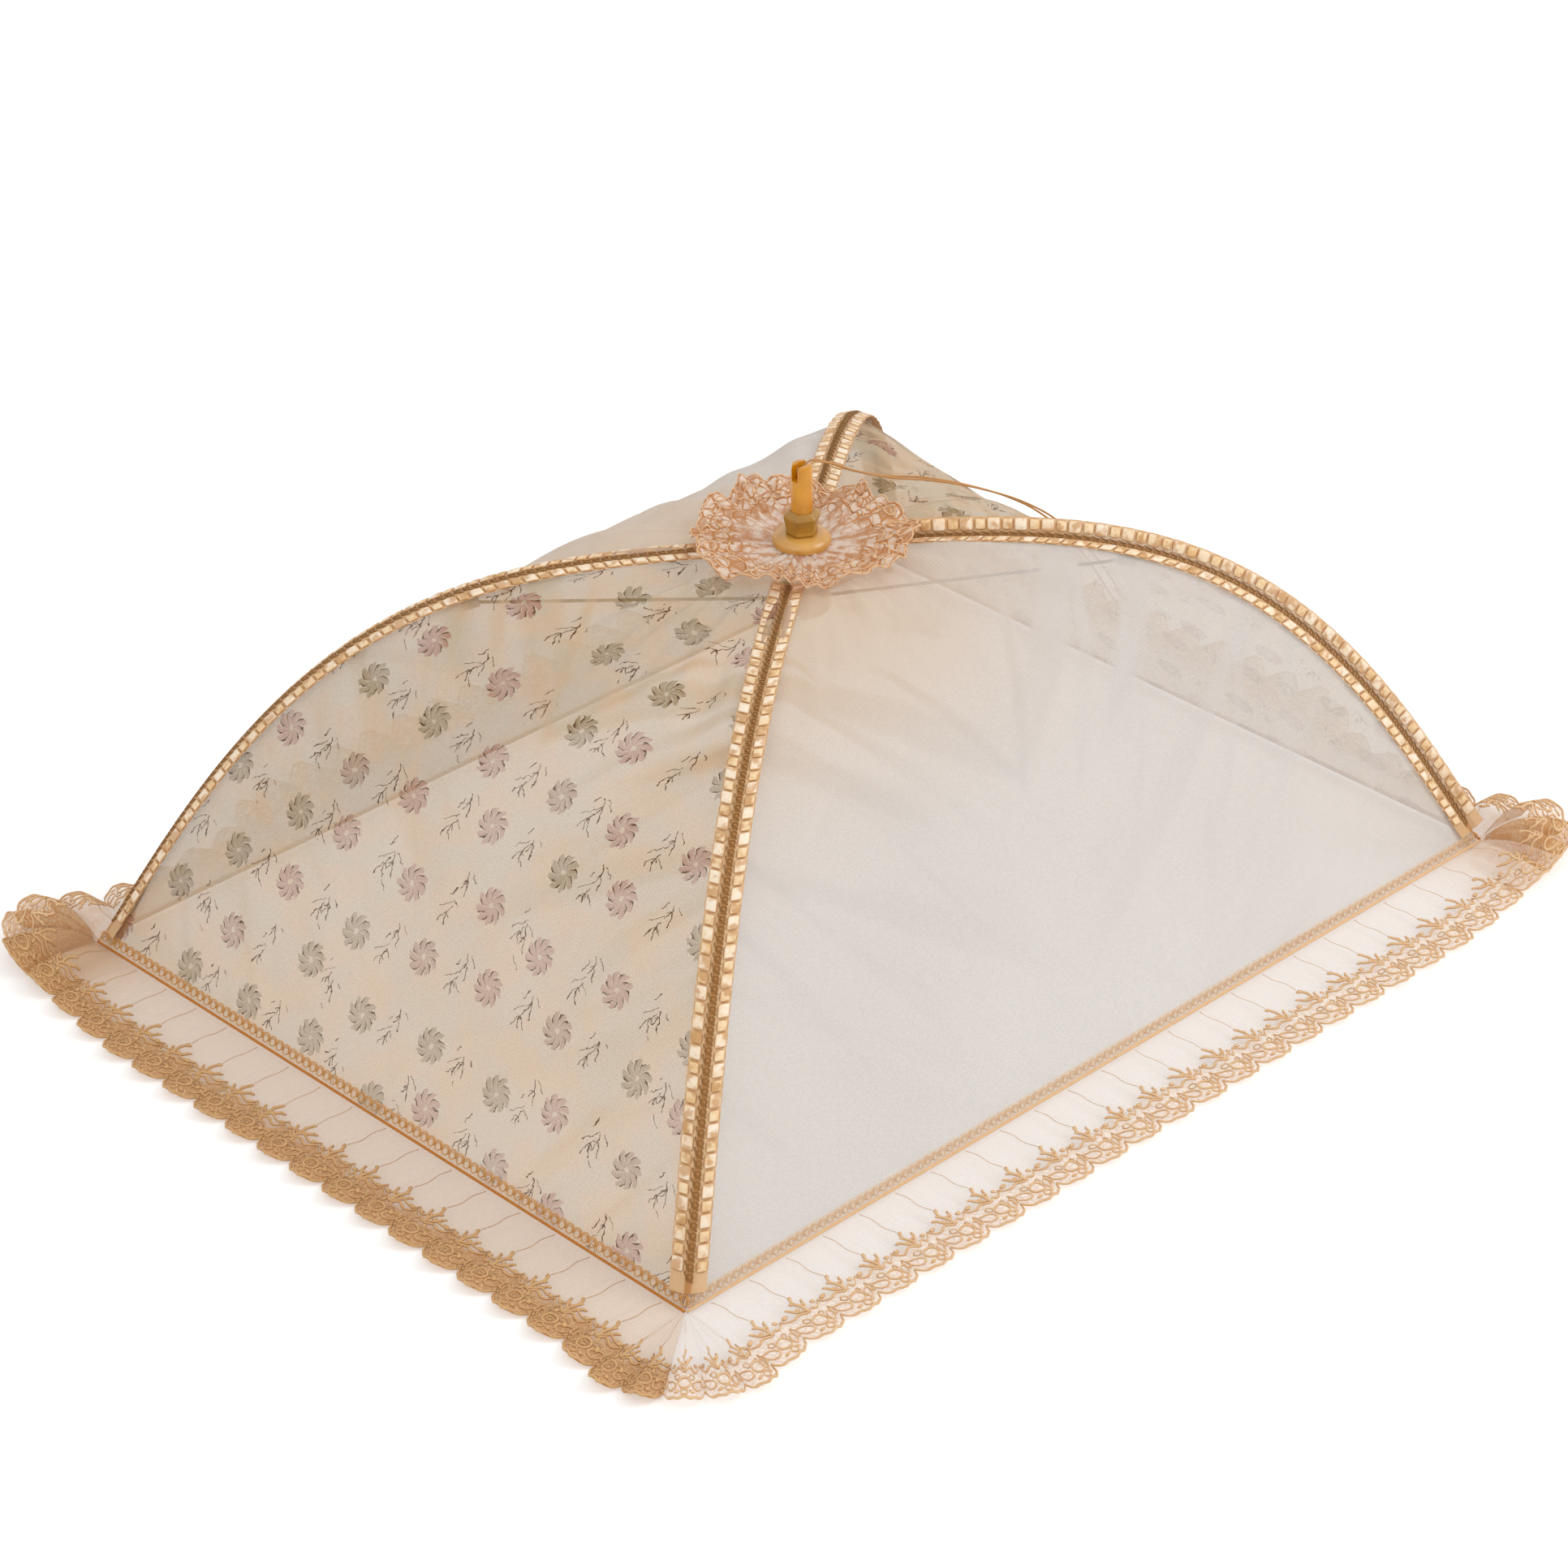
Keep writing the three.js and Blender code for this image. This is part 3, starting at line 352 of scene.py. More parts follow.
class CoverClothSettings(bpy.types.PropertyGroup):
    """Colours, weave and faces of the four panels."""

    plain_colour: bpy.props.StringProperty(
        name="Plain cloth", description="sRGB hex colour of the two plain panels", default="E0DDDB")
    printed_colour: bpy.props.StringProperty(
        name="Printed cloth", description="sRGB hex colour of the two printed panels' ground",
        default="D9BB98")
    weave_pitch: bpy.props.FloatProperty(
        name="Weave pitch", description="Distance between two threads of the panels as drawn",
        default=2.4 * MM, min=0.0005, unit="LENGTH")
    veil_rows: bpy.props.IntProperty(
        name="Veil rows", description="Rows of faces down each panel half", default=64, min=8)
    veil_columns: bpy.props.IntProperty(
        name="Veil columns", description="Faces across each panel half", default=40, min=4)


class CoverLaceSettings(bpy.types.PropertyGroup):
    """Sizes and colours of the lace, the tapes and the cords."""

    lace_colour: bpy.props.StringProperty(
        name="Lace", description="sRGB hex colour of the lace cords", default="FDE8C6")
    hem_colour: bpy.props.StringProperty(
        name="Hem cord", description="sRGB hex colour of the hem cord", default="D98F3A")
    thread_radius: bpy.props.FloatProperty(
        name="Thread radius", description="Half the width of a lace cord", default=0.62 * MM,
        min=0.0001, unit="LENGTH")
    tab_pitch: bpy.props.FloatProperty(
        name="Tab pitch", description="Length of a cream and an amber tab of a rib tape together",
        default=19 * MM, min=0.004, unit="LENGTH")
    chain_pitch: bpy.props.FloatProperty(
        name="Chain pitch", description="Distance between two loops of a tape's dark chain",
        default=6.5 * MM, min=0.002, unit="LENGTH")
    ladder_pitch: bpy.props.FloatProperty(
        name="Ladder pitch", description="Distance between two loops over the hem", default=7 * MM,
        min=0.002, unit="LENGTH")


class CoverStageSettings(bpy.types.PropertyGroup):
    """Camera and lights."""

    lens: bpy.props.FloatProperty(
        name="Lens", description="Focal length for a 36 mm sensor", default=108.77, unit="CAMERA")
    camera_place: bpy.props.FloatVectorProperty(
        name="Camera place", description="Where the camera stands", subtype="XYZ", unit="LENGTH",
        default=(-2.0298, -2.0385, 1.8275))
    camera_heading: bpy.props.FloatVectorProperty(
        name="Camera heading", description="Which way the camera looks", subtype="DIRECTION",
        default=(0.6016, 0.6093, -0.5166))
    sky_level: bpy.props.FloatProperty(
        name="Sky level", description="Brightness of the light from all round", default=0.72, min=0.0)
    key_power: bpy.props.FloatProperty(
        name="Key lamp", description="Power of the large lamp on the right", default=50.0, unit="POWER")


# Colours and shader nodes

def linear(code):
    """A six-digit sRGB hex colour as linear RGBA."""
    levels = [int(code[place:place + 2], 16) / 255 for place in (0, 2, 4)]
    lit = [level / 12.92 if level <= 0.04045 else ((level + 0.055) / 1.055) ** 2.4 for level in levels]
    return (*lit, 1.0)


# Kinds of node in short: Blender's name, its inputs in the order in which values are given, and its
# fixed settings. A kind in capitals is a Math operation, and any other kind is Blender's own name
RANGE_INPUTS = ("Value", "From Min", "From Max", "To Min", "To Max")
NODE_KINDS = {
    "chart": ("ShaderNodeUVMap", (), {"uv_map": "UVMap"}),
    "split": ("ShaderNodeSeparateXYZ", (0,), {}),
    "noise": ("ShaderNodeTexNoise", ("Vector", "Scale", "Detail", "Distortion"), {}),
    "range": ("ShaderNodeMapRange", RANGE_INPUTS, {}),
    "span": ("ShaderNodeMapRange", ("Value", "To Min", "To Max"), {}),
    "ease": ("ShaderNodeMapRange", RANGE_INPUTS, {"interpolation_type": "SMOOTHSTEP"}),
    "mix": ("ShaderNodeMix", ("Factor", "A", "B"), {"data_type": "RGBA"}),
    "bump": ("ShaderNodeBump", ("Height", "Strength", "Distance"), {}),
}


def feed(node, inputs):
    """Links or sets a node's inputs, by name or number. A node gives its first output in use."""
    for key, value in inputs.items():
        if isinstance(value, bpy.types.Node):
            value = next(output for output in value.outputs if output.enabled)
        if isinstance(value, bpy.types.NodeSocket):
            node.id_data.links.new(value, node.inputs[key])
        else:
            node.inputs[key].default_value = value


def add_node(tree, kind, *values, inputs=None, **settings):
    """Adds a node with its settings. Its inputs are values in the kind's order, or given by name."""
    short = ("ShaderNodeMath", (0, 1), {"operation": kind}) if kind.isupper() else NODE_KINDS.get(kind)
    name, order, fixed = short or (kind, range(len(values)), {})
    node = tree.nodes.new(name)
    for key, value in {**fixed, **settings}.items():
        setattr(node, key, value)
    feed(node, dict(zip(order, values)))
    feed(node, inputs or {})
    return node


def material(name, **settings):
    """A new material, the function that adds its nodes, and its Principled shader. The settings are
    the shader's inputs, with underscores for spaces."""
    made = bpy.data.materials.new(name)
    made.use_nodes = True
    made.node_tree.nodes.clear()
    node = partial(add_node, made.node_tree)
    shader = node("ShaderNodeBsdfPrincipled")
    node("ShaderNodeOutputMaterial", shader)
    feed(shader, {key.replace("_", " "): value for key, value in settings.items()})
    return made, node, shader


def sheer(node, shader, colour, cover, passed):
    """Thin cloth: it scatters a share of the light through, and is open between its threads."""
    output = shader.outputs[0].links[0].to_node
    cloth = node("ShaderNodeMixShader", passed, shader, node("ShaderNodeBsdfTranslucent", colour))
    whole = node("ShaderNodeMixShader", cover, node("ShaderNodeBsdfTransparent"), cloth)
    feed(output, {"Surface": whole})


def weave_height(node, place, pitch):
    """Threads of a square weave on the cloth's UV map, 1 on a thread's crown and 0 in a hole."""
    axes = node("split", place).outputs[:2]
    threads = [node("COSINE", node("MULTIPLY", axis, 2 * math.pi / pitch)) for axis in axes]
    return node("ease", node("MAXIMUM", *threads), -0.4, 0.9)


def crease_lines(node, place):
    """Soft creases that run down and out from the crown, where folded cloth covers a little more:
    wide ones of about 38 by 310 mm and narrow ones of about 23 by 200 mm."""
    across, down, _ = node("split", place).outputs
    mirrored = node("ShaderNodeCombineXYZ", node("ABSOLUTE", across), down)
    layers = []
    for turn, width, length, seed in ((0.95, 38.46, 312.5, 1.7), (0.55, 22.73, 200.0, 6.3)):
        turned = node(
            "ShaderNodeMapping", mirrored, (seed, seed, 0.0), (0.0, 0.0, turn),
            (width * MM, length * MM, 1.0), vector_type="TEXTURE")
        layers.append(node("ease", node("noise", turned, 1.0, 1.5, 0.3), 0.52, 0.72))
    return node("MULTIPLY", node("ADD", *layers), node("range", down, 0.12, 0.34, 0.26, 0.07))


# The share of the light on a thread that comes out on its other side
PASSED_BY_VOILE = 0.50
PASSED_BY_TULLE = 0.35


def sheer_voile(name, colour, pitch, holes, threads):
    """Woven polyester voile: a soft milky net that light passes, its threads a little denser. Real
    threads are about 0.3 mm apart, too fine for the render, so the weave is drawn coarser."""
    made, node, shader = material(
        name, Base_Color=linear(colour), Roughness=0.85, Sheen_Weight=0.08, Sheen_Roughness=0.5,
        Specular_IOR_Level=0.2)
    place = node("chart")
    down = node("split", place).outputs[1]
    weave = weave_height(node, place, pitch)
    uneven = node("range", node("noise", place, 1 / (111.1 * MM), 2.0), 0.3, 0.7, 0.94, 1.06)
    crown = node("ease", down, 0.04, 0.30, 1.16, 1.0)
    flat = node("MULTIPLY", node("MULTIPLY", node("span", weave, holes, threads), crown), uneven)
    cover = node("ADD", flat, crease_lines(node, place), use_clamp=True)
    feed(shader, {"Normal": node("bump", weave, 0.2, 0.3 * MM)})
    return made, node, shader, place, cover


def plain_voile(name):
    """Undyed voile, a warmer cream round the crown on one side."""
    cloth = bpy.context.scene.food_cover_cloth
    colour = cloth.plain_colour
    made, node, shader, place, cover = sheer_voile(name, colour, cloth.weave_pitch, 0.68, 0.74)
    across, down, _ = node("split", place).outputs
    crown = node("ease", down, 0.06, 0.26, 1.0, 0.0)
    one_side = node("ease", across, -0.04, 0.12, 1.0, 0.25)
    tone = node("mix", node("MULTIPLY", crown, one_side), linear(colour), linear("E0CAB2"))
    feed(shader, {"Base Color": tone})
    sheer(node, shader, tone, cover, PASSED_BY_VOILE)
    return made


# The print: a staggered repeat of small whirled blossoms with forked twigs between
PRINT_WIDTH = 0.066
PRINT_HEIGHT = 0.048
PRINT_STAGGER = 0.42
PRINT_JITTER = 0.34
BLOSSOM_RADIUS = 0.0138
BLOSSOM_PETALS = 9
BLOSSOM_TWIST = 1.35
PRINT_RAGGED = 0.0045
TWIG_FORKS = 0.011
TWIG_HALF = 0.00042


def whirl_print(node, place):
    """Masks of the print on the cloth's UV map: blossoms, their shading, dark edges and twigs."""
    ragged = node("noise", place, 1 / (3.846 * MM), 2.0).outputs["Color"]
    centred = node("ShaderNodeVectorMath", ragged, (0.5, 0.5, 0.5), operation="SUBTRACT")
    nudge = node("ShaderNodeVectorMath", centred, inputs={"Scale": PRINT_RAGGED}, operation="SCALE")
    place = node("ShaderNodeVectorMath", place, nudge, operation="ADD")
    over, under, _ = node("split", place).outputs
    down = node("DIVIDE", under, PRINT_HEIGHT)
    row = node("FLOOR", down)
    along = node("ADD", node("DIVIDE", over, PRINT_WIDTH), node("MULTIPLY", row, PRINT_STAGGER))
    cell = node("ShaderNodeCombineXYZ", node("FLOOR", along), row)
    chance = node("ShaderNodeTexWhiteNoise", cell, noise_dimensions="3D")
    jitter = node("split", chance.outputs["Color"]).outputs
    moved = []
    for turns, size, lot in ((along, PRINT_WIDTH, jitter[0]), (down, PRINT_HEIGHT, jitter[1])):
        offset = node("MULTIPLY", node("SUBTRACT", lot, 0.5), PRINT_JITTER)
        middle = node("SUBTRACT", node("FRACT", turns), 0.5)
        moved.append(node("MULTIPLY", node("SUBTRACT", middle, offset), size))
    across, upward = moved
    squares = [node("MULTIPLY", side, side) for side in moved]
    reach = node("DIVIDE", node("SQRT", node("ADD", *squares)), BLOSSOM_RADIUS)
    angle = node("DIVIDE", node("ARCTAN2", upward, across), 2 * math.pi)

    # Each petal is one turn of a spiral, rounded at its tip and dark along its trailing edge
    petals = node("MULTIPLY", angle, BLOSSOM_PETALS)
    whirl = node("ADD", petals, node("MULTIPLY", reach, BLOSSOM_TWIST))
    petal = node("FRACT", node("ADD", whirl, node("MULTIPLY", jitter[2], 5.0)))
    bulge = node("SINE", node("MULTIPLY", petal, math.pi))
    tip = node("ADD", node("MULTIPLY", bulge, 0.30), 0.68)
    filled = node("ease", node("SUBTRACT", tip, reach), 0.0, 0.05)
    heart = node("ease", reach, 0.10, 0.16)
    gap = node("ease", bulge, 0.12, 0.30)
    parted = node("ADD", node("MULTIPLY", gap, 0.75), 0.25)
    blossom = node("MULTIPLY", node("MULTIPLY", filled, heart), parted)
    trailing = node("MULTIPLY", node("ease", petal, 0.66, 0.80), node("ease", reach, 0.30, 0.75))
    edge = node("MULTIPLY", trailing, node("MULTIPLY", filled, gap))

    # A twig stands half a repeat from each blossom: a bent stalk with two pairs of branches
    beside = node("SUBTRACT", node("FRACT", node("ADD", along, 0.5)), 0.5)
    bend = node("MULTIPLY", node("SINE", node("MULTIPLY", upward, 210.0)), 3.0 * MM)
    stalk = node("ABSOLUTE", node("SUBTRACT", node("MULTIPLY", beside, PRINT_WIDTH), bend))
    turns = node("DIVIDE", node("ADD", upward, 7 * MM), TWIG_FORKS)
    forks = node("MULTIPLY", node("FRACT", turns), TWIG_FORKS)
    branch = node("ABSOLUTE", node("SUBTRACT", stalk, node("MULTIPLY", forks, 0.75)))
    drawn = node("LESS_THAN", node("MINIMUM", stalk, branch), TWIG_HALF)
    height = node("ADD", 9 * MM, node("MULTIPLY", jitter[0], 6 * MM))
    twig = node("MULTIPLY", drawn, node("LESS_THAN", node("ABSOLUTE", upward), height))
    twigs = node("MULTIPLY", twig, node("GREATER_THAN", reach, 1.05))
    return blossom, edge, jitter[0], node("MULTIPLY", petal, 0.55), twigs


def printed_voile(name):
    """Voile printed in olive and rose brown on a tan ground. Ink closes the weave a little."""
    cloth = bpy.context.scene.food_cover_cloth
    colour = cloth.printed_colour
    made, node, shader, place, cover = sheer_voile(name, colour, cloth.weave_pitch, 0.58, 0.64)
    blossom, edge, tone, fade, twigs = whirl_print(node, place)
    shades = node("mix", node("range", tone, 0.42, 0.58), linear("AA9468"), linear("C4957E"))
    deep = node("mix", fade, shades, linear("96785E"))
    warm = node("ease", node("noise", place, 1 / (38.46 * MM), 2.0), 0.40, 0.62)
    ground = node("mix", warm, linear("D0BEA4"), linear(colour))
    lined = node("MAXIMUM", edge, twigs)
    drawn = node("mix", lined, node("mix", blossom, ground, deep), linear("66492F"))
    feed(shader, {"Base Color": drawn})
    more = node("ADD", node("MULTIPLY", blossom, 0.05), node("MULTIPLY", lined, 0.26))
    sheer(node, shader, drawn, node("ADD", cover, more, use_clamp=True), PASSED_BY_VOILE)
    return made


def tulle(name, colour, edge_colour, thread_colour, clear, dense, corded, worked=(0.048, 0.060),
          patch_share=0.0, gathered_patch_share=0.0, cell=4.2 * MM):
    """Nylon tulle: a nearly clear net. Along its edge it is worked over with small looped stitches.
    Its mesh of about 1 mm is drawn 2.2 mm wide and its stitches of 1 to 2 mm are drawn a cell wide,
    so that they show."""
    made, node, shader = material(
        name, Base_Color=linear(colour), Roughness=0.8, Sheen_Weight=0.08, Specular_IOR_Level=0.3)
    place = node("chart")
    weave = weave_height(node, place, 2.2 * MM)
    gather = node("ShaderNodeAttribute", attribute_name="gather").outputs["Fac"]
    drift = node("span", node("noise", place, 1 / (16.67 * MM), 1.0), -12 * MM, 12 * MM)
    border = node("ease", node("ADD", node("split", place).outputs[1], drift), *worked)
    border = node("MAXIMUM", border, node("MULTIPLY", gather, 0.75))
    loops = node(
        "ShaderNodeTexVoronoi", inputs={"Vector": place, "Scale": 1 / cell, "Randomness": 0.8},
        voronoi_dimensions="2D", feature="DISTANCE_TO_EDGE").outputs["Distance"]
    stitches = node("MULTIPLY", node("ease", loops, 0.05, 0.14, 1.0, 0.0), border)
    tone = node("mix", stitches, node("mix", border, linear(colour), linear(edge_colour)),
                linear(thread_colour))
    # Golden patches of the thread's colour at random, more of them where the net lies gathered. On the
    # rosette they are partly painted shade, standing for the shade in its folds.
    share = node("span", gather, patch_share, gathered_patch_share)
    golden_patches = node("ease", node("noise", place, 1 / (13.33 * MM), 3.0), 0.42, 0.62, 0.0, share)
    tone = node("mix", golden_patches, tone, linear(thread_colour))
    net = node("MULTIPLY", node("span", border, clear, dense), node("span", weave, 0.85, 1.10))
    layers = node("ADD", net, node("MULTIPLY", gather, 0.42))
    alpha = node("ADD", layers, node("MULTIPLY", stitches, corded), use_clamp=True)
    feed(shader, {"Base Color": tone, "Normal": node("bump", stitches, 0.6, 0.6 * MM)})
    sheer(node, shader, tone, alpha, PASSED_BY_TULLE)
    return made


def twisted_yarn(name, colour, dark, turn_pitch=0.9 * MM):
    """Two-ply viscose yarn: soft gloss along the twist, painted shade in the grooves between the plies,
    and darker in worn patches.
    """
    made, node, shader = material(
        name, Base_Color=linear(colour), Roughness=0.7, Sheen_Weight=0.04, Specular_IOR_Level=0.3)
    around, along, _ = node("split", node("chart")).outputs
    twist = node("ADD", around, node("MULTIPLY", along, 1 / (2 * turn_pitch)))
    shade = node("ease", node("PINGPONG", twist, 0.25), 0.0, 0.25)
    # The grooves between the plies take the dark colour: painted shade.
    tone = node("mix", shade, linear(dark), linear(colour))
    patches = node("noise", node("ShaderNodeTexCoord").outputs["Object"], 1 / (6.25 * MM), 2.0)
    varied = node("mix", node("range", patches, 0.35, 0.75, 0.0, 0.35), tone, linear(dark))
    feed(shader, {"Base Color": varied, "Normal": node("bump", shade, 0.4, 0.3 * MM)})
    return made


def satin_stitch(name, colour, dark, outline):
    """Satin stitch in rayon: close parallel threads with a silky gloss and a darker outline. Its
    threads of 0.3 mm are drawn 2.4 mm wide, so that they show. The UV map runs -1 to 1 over a tab."""
    made, node, shader = material(
        name, Base_Color=linear(colour), Roughness=0.5, Sheen_Weight=0.05, Specular_IOR_Level=0.35)
    place = node("ShaderNodeTexCoord").outputs["Object"]
    grain = node("noise", place, 1 / (2.381 * MM), 3.0)
    drift = node("noise", place, 1 / (14.29 * MM), 1.0)
    shade = node("range", node("MULTIPLY", grain, drift), 0.10, 0.30)
    tone = node("mix", shade, linear(dark), linear(colour))
    across, along, _ = node(
        "split", node("ShaderNodeVectorMath", node("chart"), operation="ABSOLUTE")).outputs
    rim = node("ease", node("MAXIMUM", across, along), 0.68, 0.96)
    patch = node("ease", node("noise", place, 1 / (8.696 * MM), 2.0), 0.47, 0.62, 0.0, 0.75)
    edged = node("mix", node("MAXIMUM", rim, patch), tone, linear(outline))
    feed(shader, {"Base Color": edged, "Normal": node("bump", grain, 0.3, 0.4 * MM)})
    return made


def lace_ground(name):
    """Woven nylon lace ground of the rib tape: see-through peach net, brown under the chain. Its
    threads, about 0.5 mm apart, are drawn 1.6 mm apart, so that they show."""
    made, node, shader = material(name, Roughness=0.75, Sheen_Weight=0.2)
    place = node("chart")
    off = node("ABSOLUTE", node("split", place).outputs[0])
    centre = node("ease", off, 1.2 * MM, 3.4 * MM, 1.0, 0.0)
    sides = node("span", weave_height(node, place, 1.6 * MM), 0.80, 0.92)
    feed(shader, {"Base Color": node("mix", centre, linear("E0B684"), linear("BC8448")),
                  "Alpha": node("mix", centre, sides, 0.97, data_type="FLOAT")})
    return made


def moulded_abs(name, colour, deep, roughness, coat):
    """Injection moulded ABS: even colour with faint flow clouding, fine pits and a polished skin."""
    made, node, shader = material(
        name, Base_Color=linear(colour), Roughness=roughness, IOR=1.53, Coat_Weight=coat,
        Coat_Roughness=0.12)
    place = node("ShaderNodeTexCoord").outputs["Object"]
    clouds = node("range", node("noise", place, 1 / (18.18 * MM), 3.0), 0.3, 0.7)
    pits = node("noise", place, 1 / (1.111 * MM), 2.0)
    feed(shader, {"Base Color": node("mix", clouds, linear(deep), linear(colour)),
                  "Roughness": node("span", pits, roughness - 0.06, roughness + 0.1),
                  "Normal": node("bump", pits, 0.06, 0.2 * MM)})
    return made


def blackened_wire(name):
    """Sprung steel wire with a baked black coating, rubbed brown in small patches."""
    made, node, shader = material(name, Base_Color=linear("2E2A26"), Metallic=0.55, Roughness=0.42)
    rub = node("noise", node("ShaderNodeTexCoord").outputs["Object"], 1 / (16.67 * MM), 4.0)
    worn = node("range", rub, 0.55, 0.72)
    feed(shader, {"Base Color": node("mix", worn, linear("2B2825"), linear("5A4636")),
                  "Roughness": node("span", worn, 0.38, 0.6)})
    return made


def zinc_steel(name):
    """Zinc plated steel of the pins and clips: grey, softly brushed by handling."""
    made, node, shader = material(name, Base_Color=linear("96938D"), Metallic=0.9, Roughness=0.38)
    smears = node("noise", node("ShaderNodeTexCoord").outputs["Object"], 1 / (4.167 * MM), 3.0)
    feed(shader, {"Roughness": node("span", smears, 0.3, 0.5)})
    return made


# Each material by its name: the function that makes it, and what that takes besides the name. A
# colour that a user can change is given as the name of its setting
MATERIALS = {
    "plain_polyester_voile": (plain_voile,),
    "printed_polyester_voile": (printed_voile,),
    "plain_nylon_tulle": (
        partial(tulle, gathered_patch_share=0.9), "DBCFC7", "EFCA96", "DBA468", 0.42, 0.22, 0.14),
    # Its darker colours are painted shade of the -X flounces, which the key lamp doesn't face; its denser
    # net is the filled lace there.
    "printed_nylon_tulle": (tulle, "D8BDA2", "CC9B68", "E8C08E", 0.56, 0.90, 0.10),
    # The rosette's golden patches are partly painted shade of its folds.
    "rosette_nylon_tulle": (
        partial(tulle, worked=(0.020, 0.050), patch_share=0.85, cell=9 * MM),
        "FDF0E6", "FDECDC", "D3945A", 0.78, 0.80, 0.20),
    "hem_nylon_tulle": (tulle, "F6DAB4", "F6DAB4", "F6DAB4", 0.34, 0.34, 0.0),
    # A yarn's second colour is the painted shade between its plies and the tone of its worn patches.
    "lace_viscose_yarn": (twisted_yarn, "lace_colour", "E2A562"),
    # A darker copy of the lace yarn: painted shade of the -X flounces.
    "tan_viscose_yarn": (twisted_yarn, "F0CB98", "C8935A"),
    "rosette_viscose_yarn": (twisted_yarn, "FCE6C6", "DFA264"),
    "hem_viscose_yarn": (twisted_yarn, "hem_colour", "B36A20", 1.6 * MM),
    "ladder_viscose_yarn": (twisted_yarn, "F0BE7C", "D08B42"),
    "pale_hem_viscose_yarn": (twisted_yarn, "F6D4AA", "E2AE74", 1.6 * MM),
    "pale_ladder_viscose_yarn": (twisted_yarn, "FBDFBC", "E4AE78"),
    "draw_cord_viscose_yarn": (twisted_yarn, "DDA768", "AE763E", 1.2 * MM),
    "chain_viscose_yarn": (twisted_yarn, "B98648", "835C30"),
    "cream_rayon_satin_stitch": (satin_stitch, "FCEAD2", "F2D2A6", "CB965C"),
    "amber_rayon_satin_stitch": (satin_stitch, "F7DCB4", "E6BA80", "C48E54"),
    "woven_nylon_lace_ground": (lace_ground,),
    "amber_moulded_abs": (moulded_abs, "E09A0C", "C67E04", 0.24, 0.22),
    "olive_gold_moulded_abs": (moulded_abs, "BC8A26", "966816", 0.34, 0.22),
    "tan_moulded_abs": (moulded_abs, "D9A24E", "C48C3A", 0.28, 0.4),
    "cream_moulded_abs": (moulded_abs, "E6DAC6", "D8C7AC", 0.45, 0.1),
    "black_coated_spring_steel": (blackened_wire,),
    "zinc_plated_steel": (zinc_steel,),
}


def finish_named(name):
    """The material of that name, made the first time it is asked for."""
    if name not in bpy.data.materials:
        lace = bpy.context.scene.food_cover_lace
        own = {"lace_colour": lace.lace_colour, "hem_colour": lace.hem_colour}
        make, *given = MATERIALS[name]
        make(name, *[own.get(value, value) for value in given])
    return bpy.data.materials[name]


# Meshes

def new_object(name, data):
    made = bpy.data.objects.new(name, data)
    bpy.context.scene.collection.objects.link(made)
    return made


@contextmanager
def editing(mesh):
    """A bmesh of the mesh, which the mesh takes over when the work on it is done."""
    work = bmesh.new()
    work.from_mesh(mesh)
    yield work
    work.to_mesh(mesh)
    work.free()


def ring_faces(rings, sides, closed=False):
    """Quads from each ring of points to the next, with a cap on each end where they aren't closed."""
    index = np.arange(rings * sides).reshape(rings, sides)
    here = index if closed else index[:-1]
    there = np.roll(index, -1, 0)[:len(here)]
    quads = np.stack([here, there, np.roll(there, -1, 1), np.roll(here, -1, 1)], -1)
    faces = quads.reshape(-1, 4).tolist()
    return faces if closed else faces + [index[0].tolist(), index[-1, ::-1].tolist()]


def turned_over(faces):
    return [face[:1] + face[:0:-1] for face in faces]


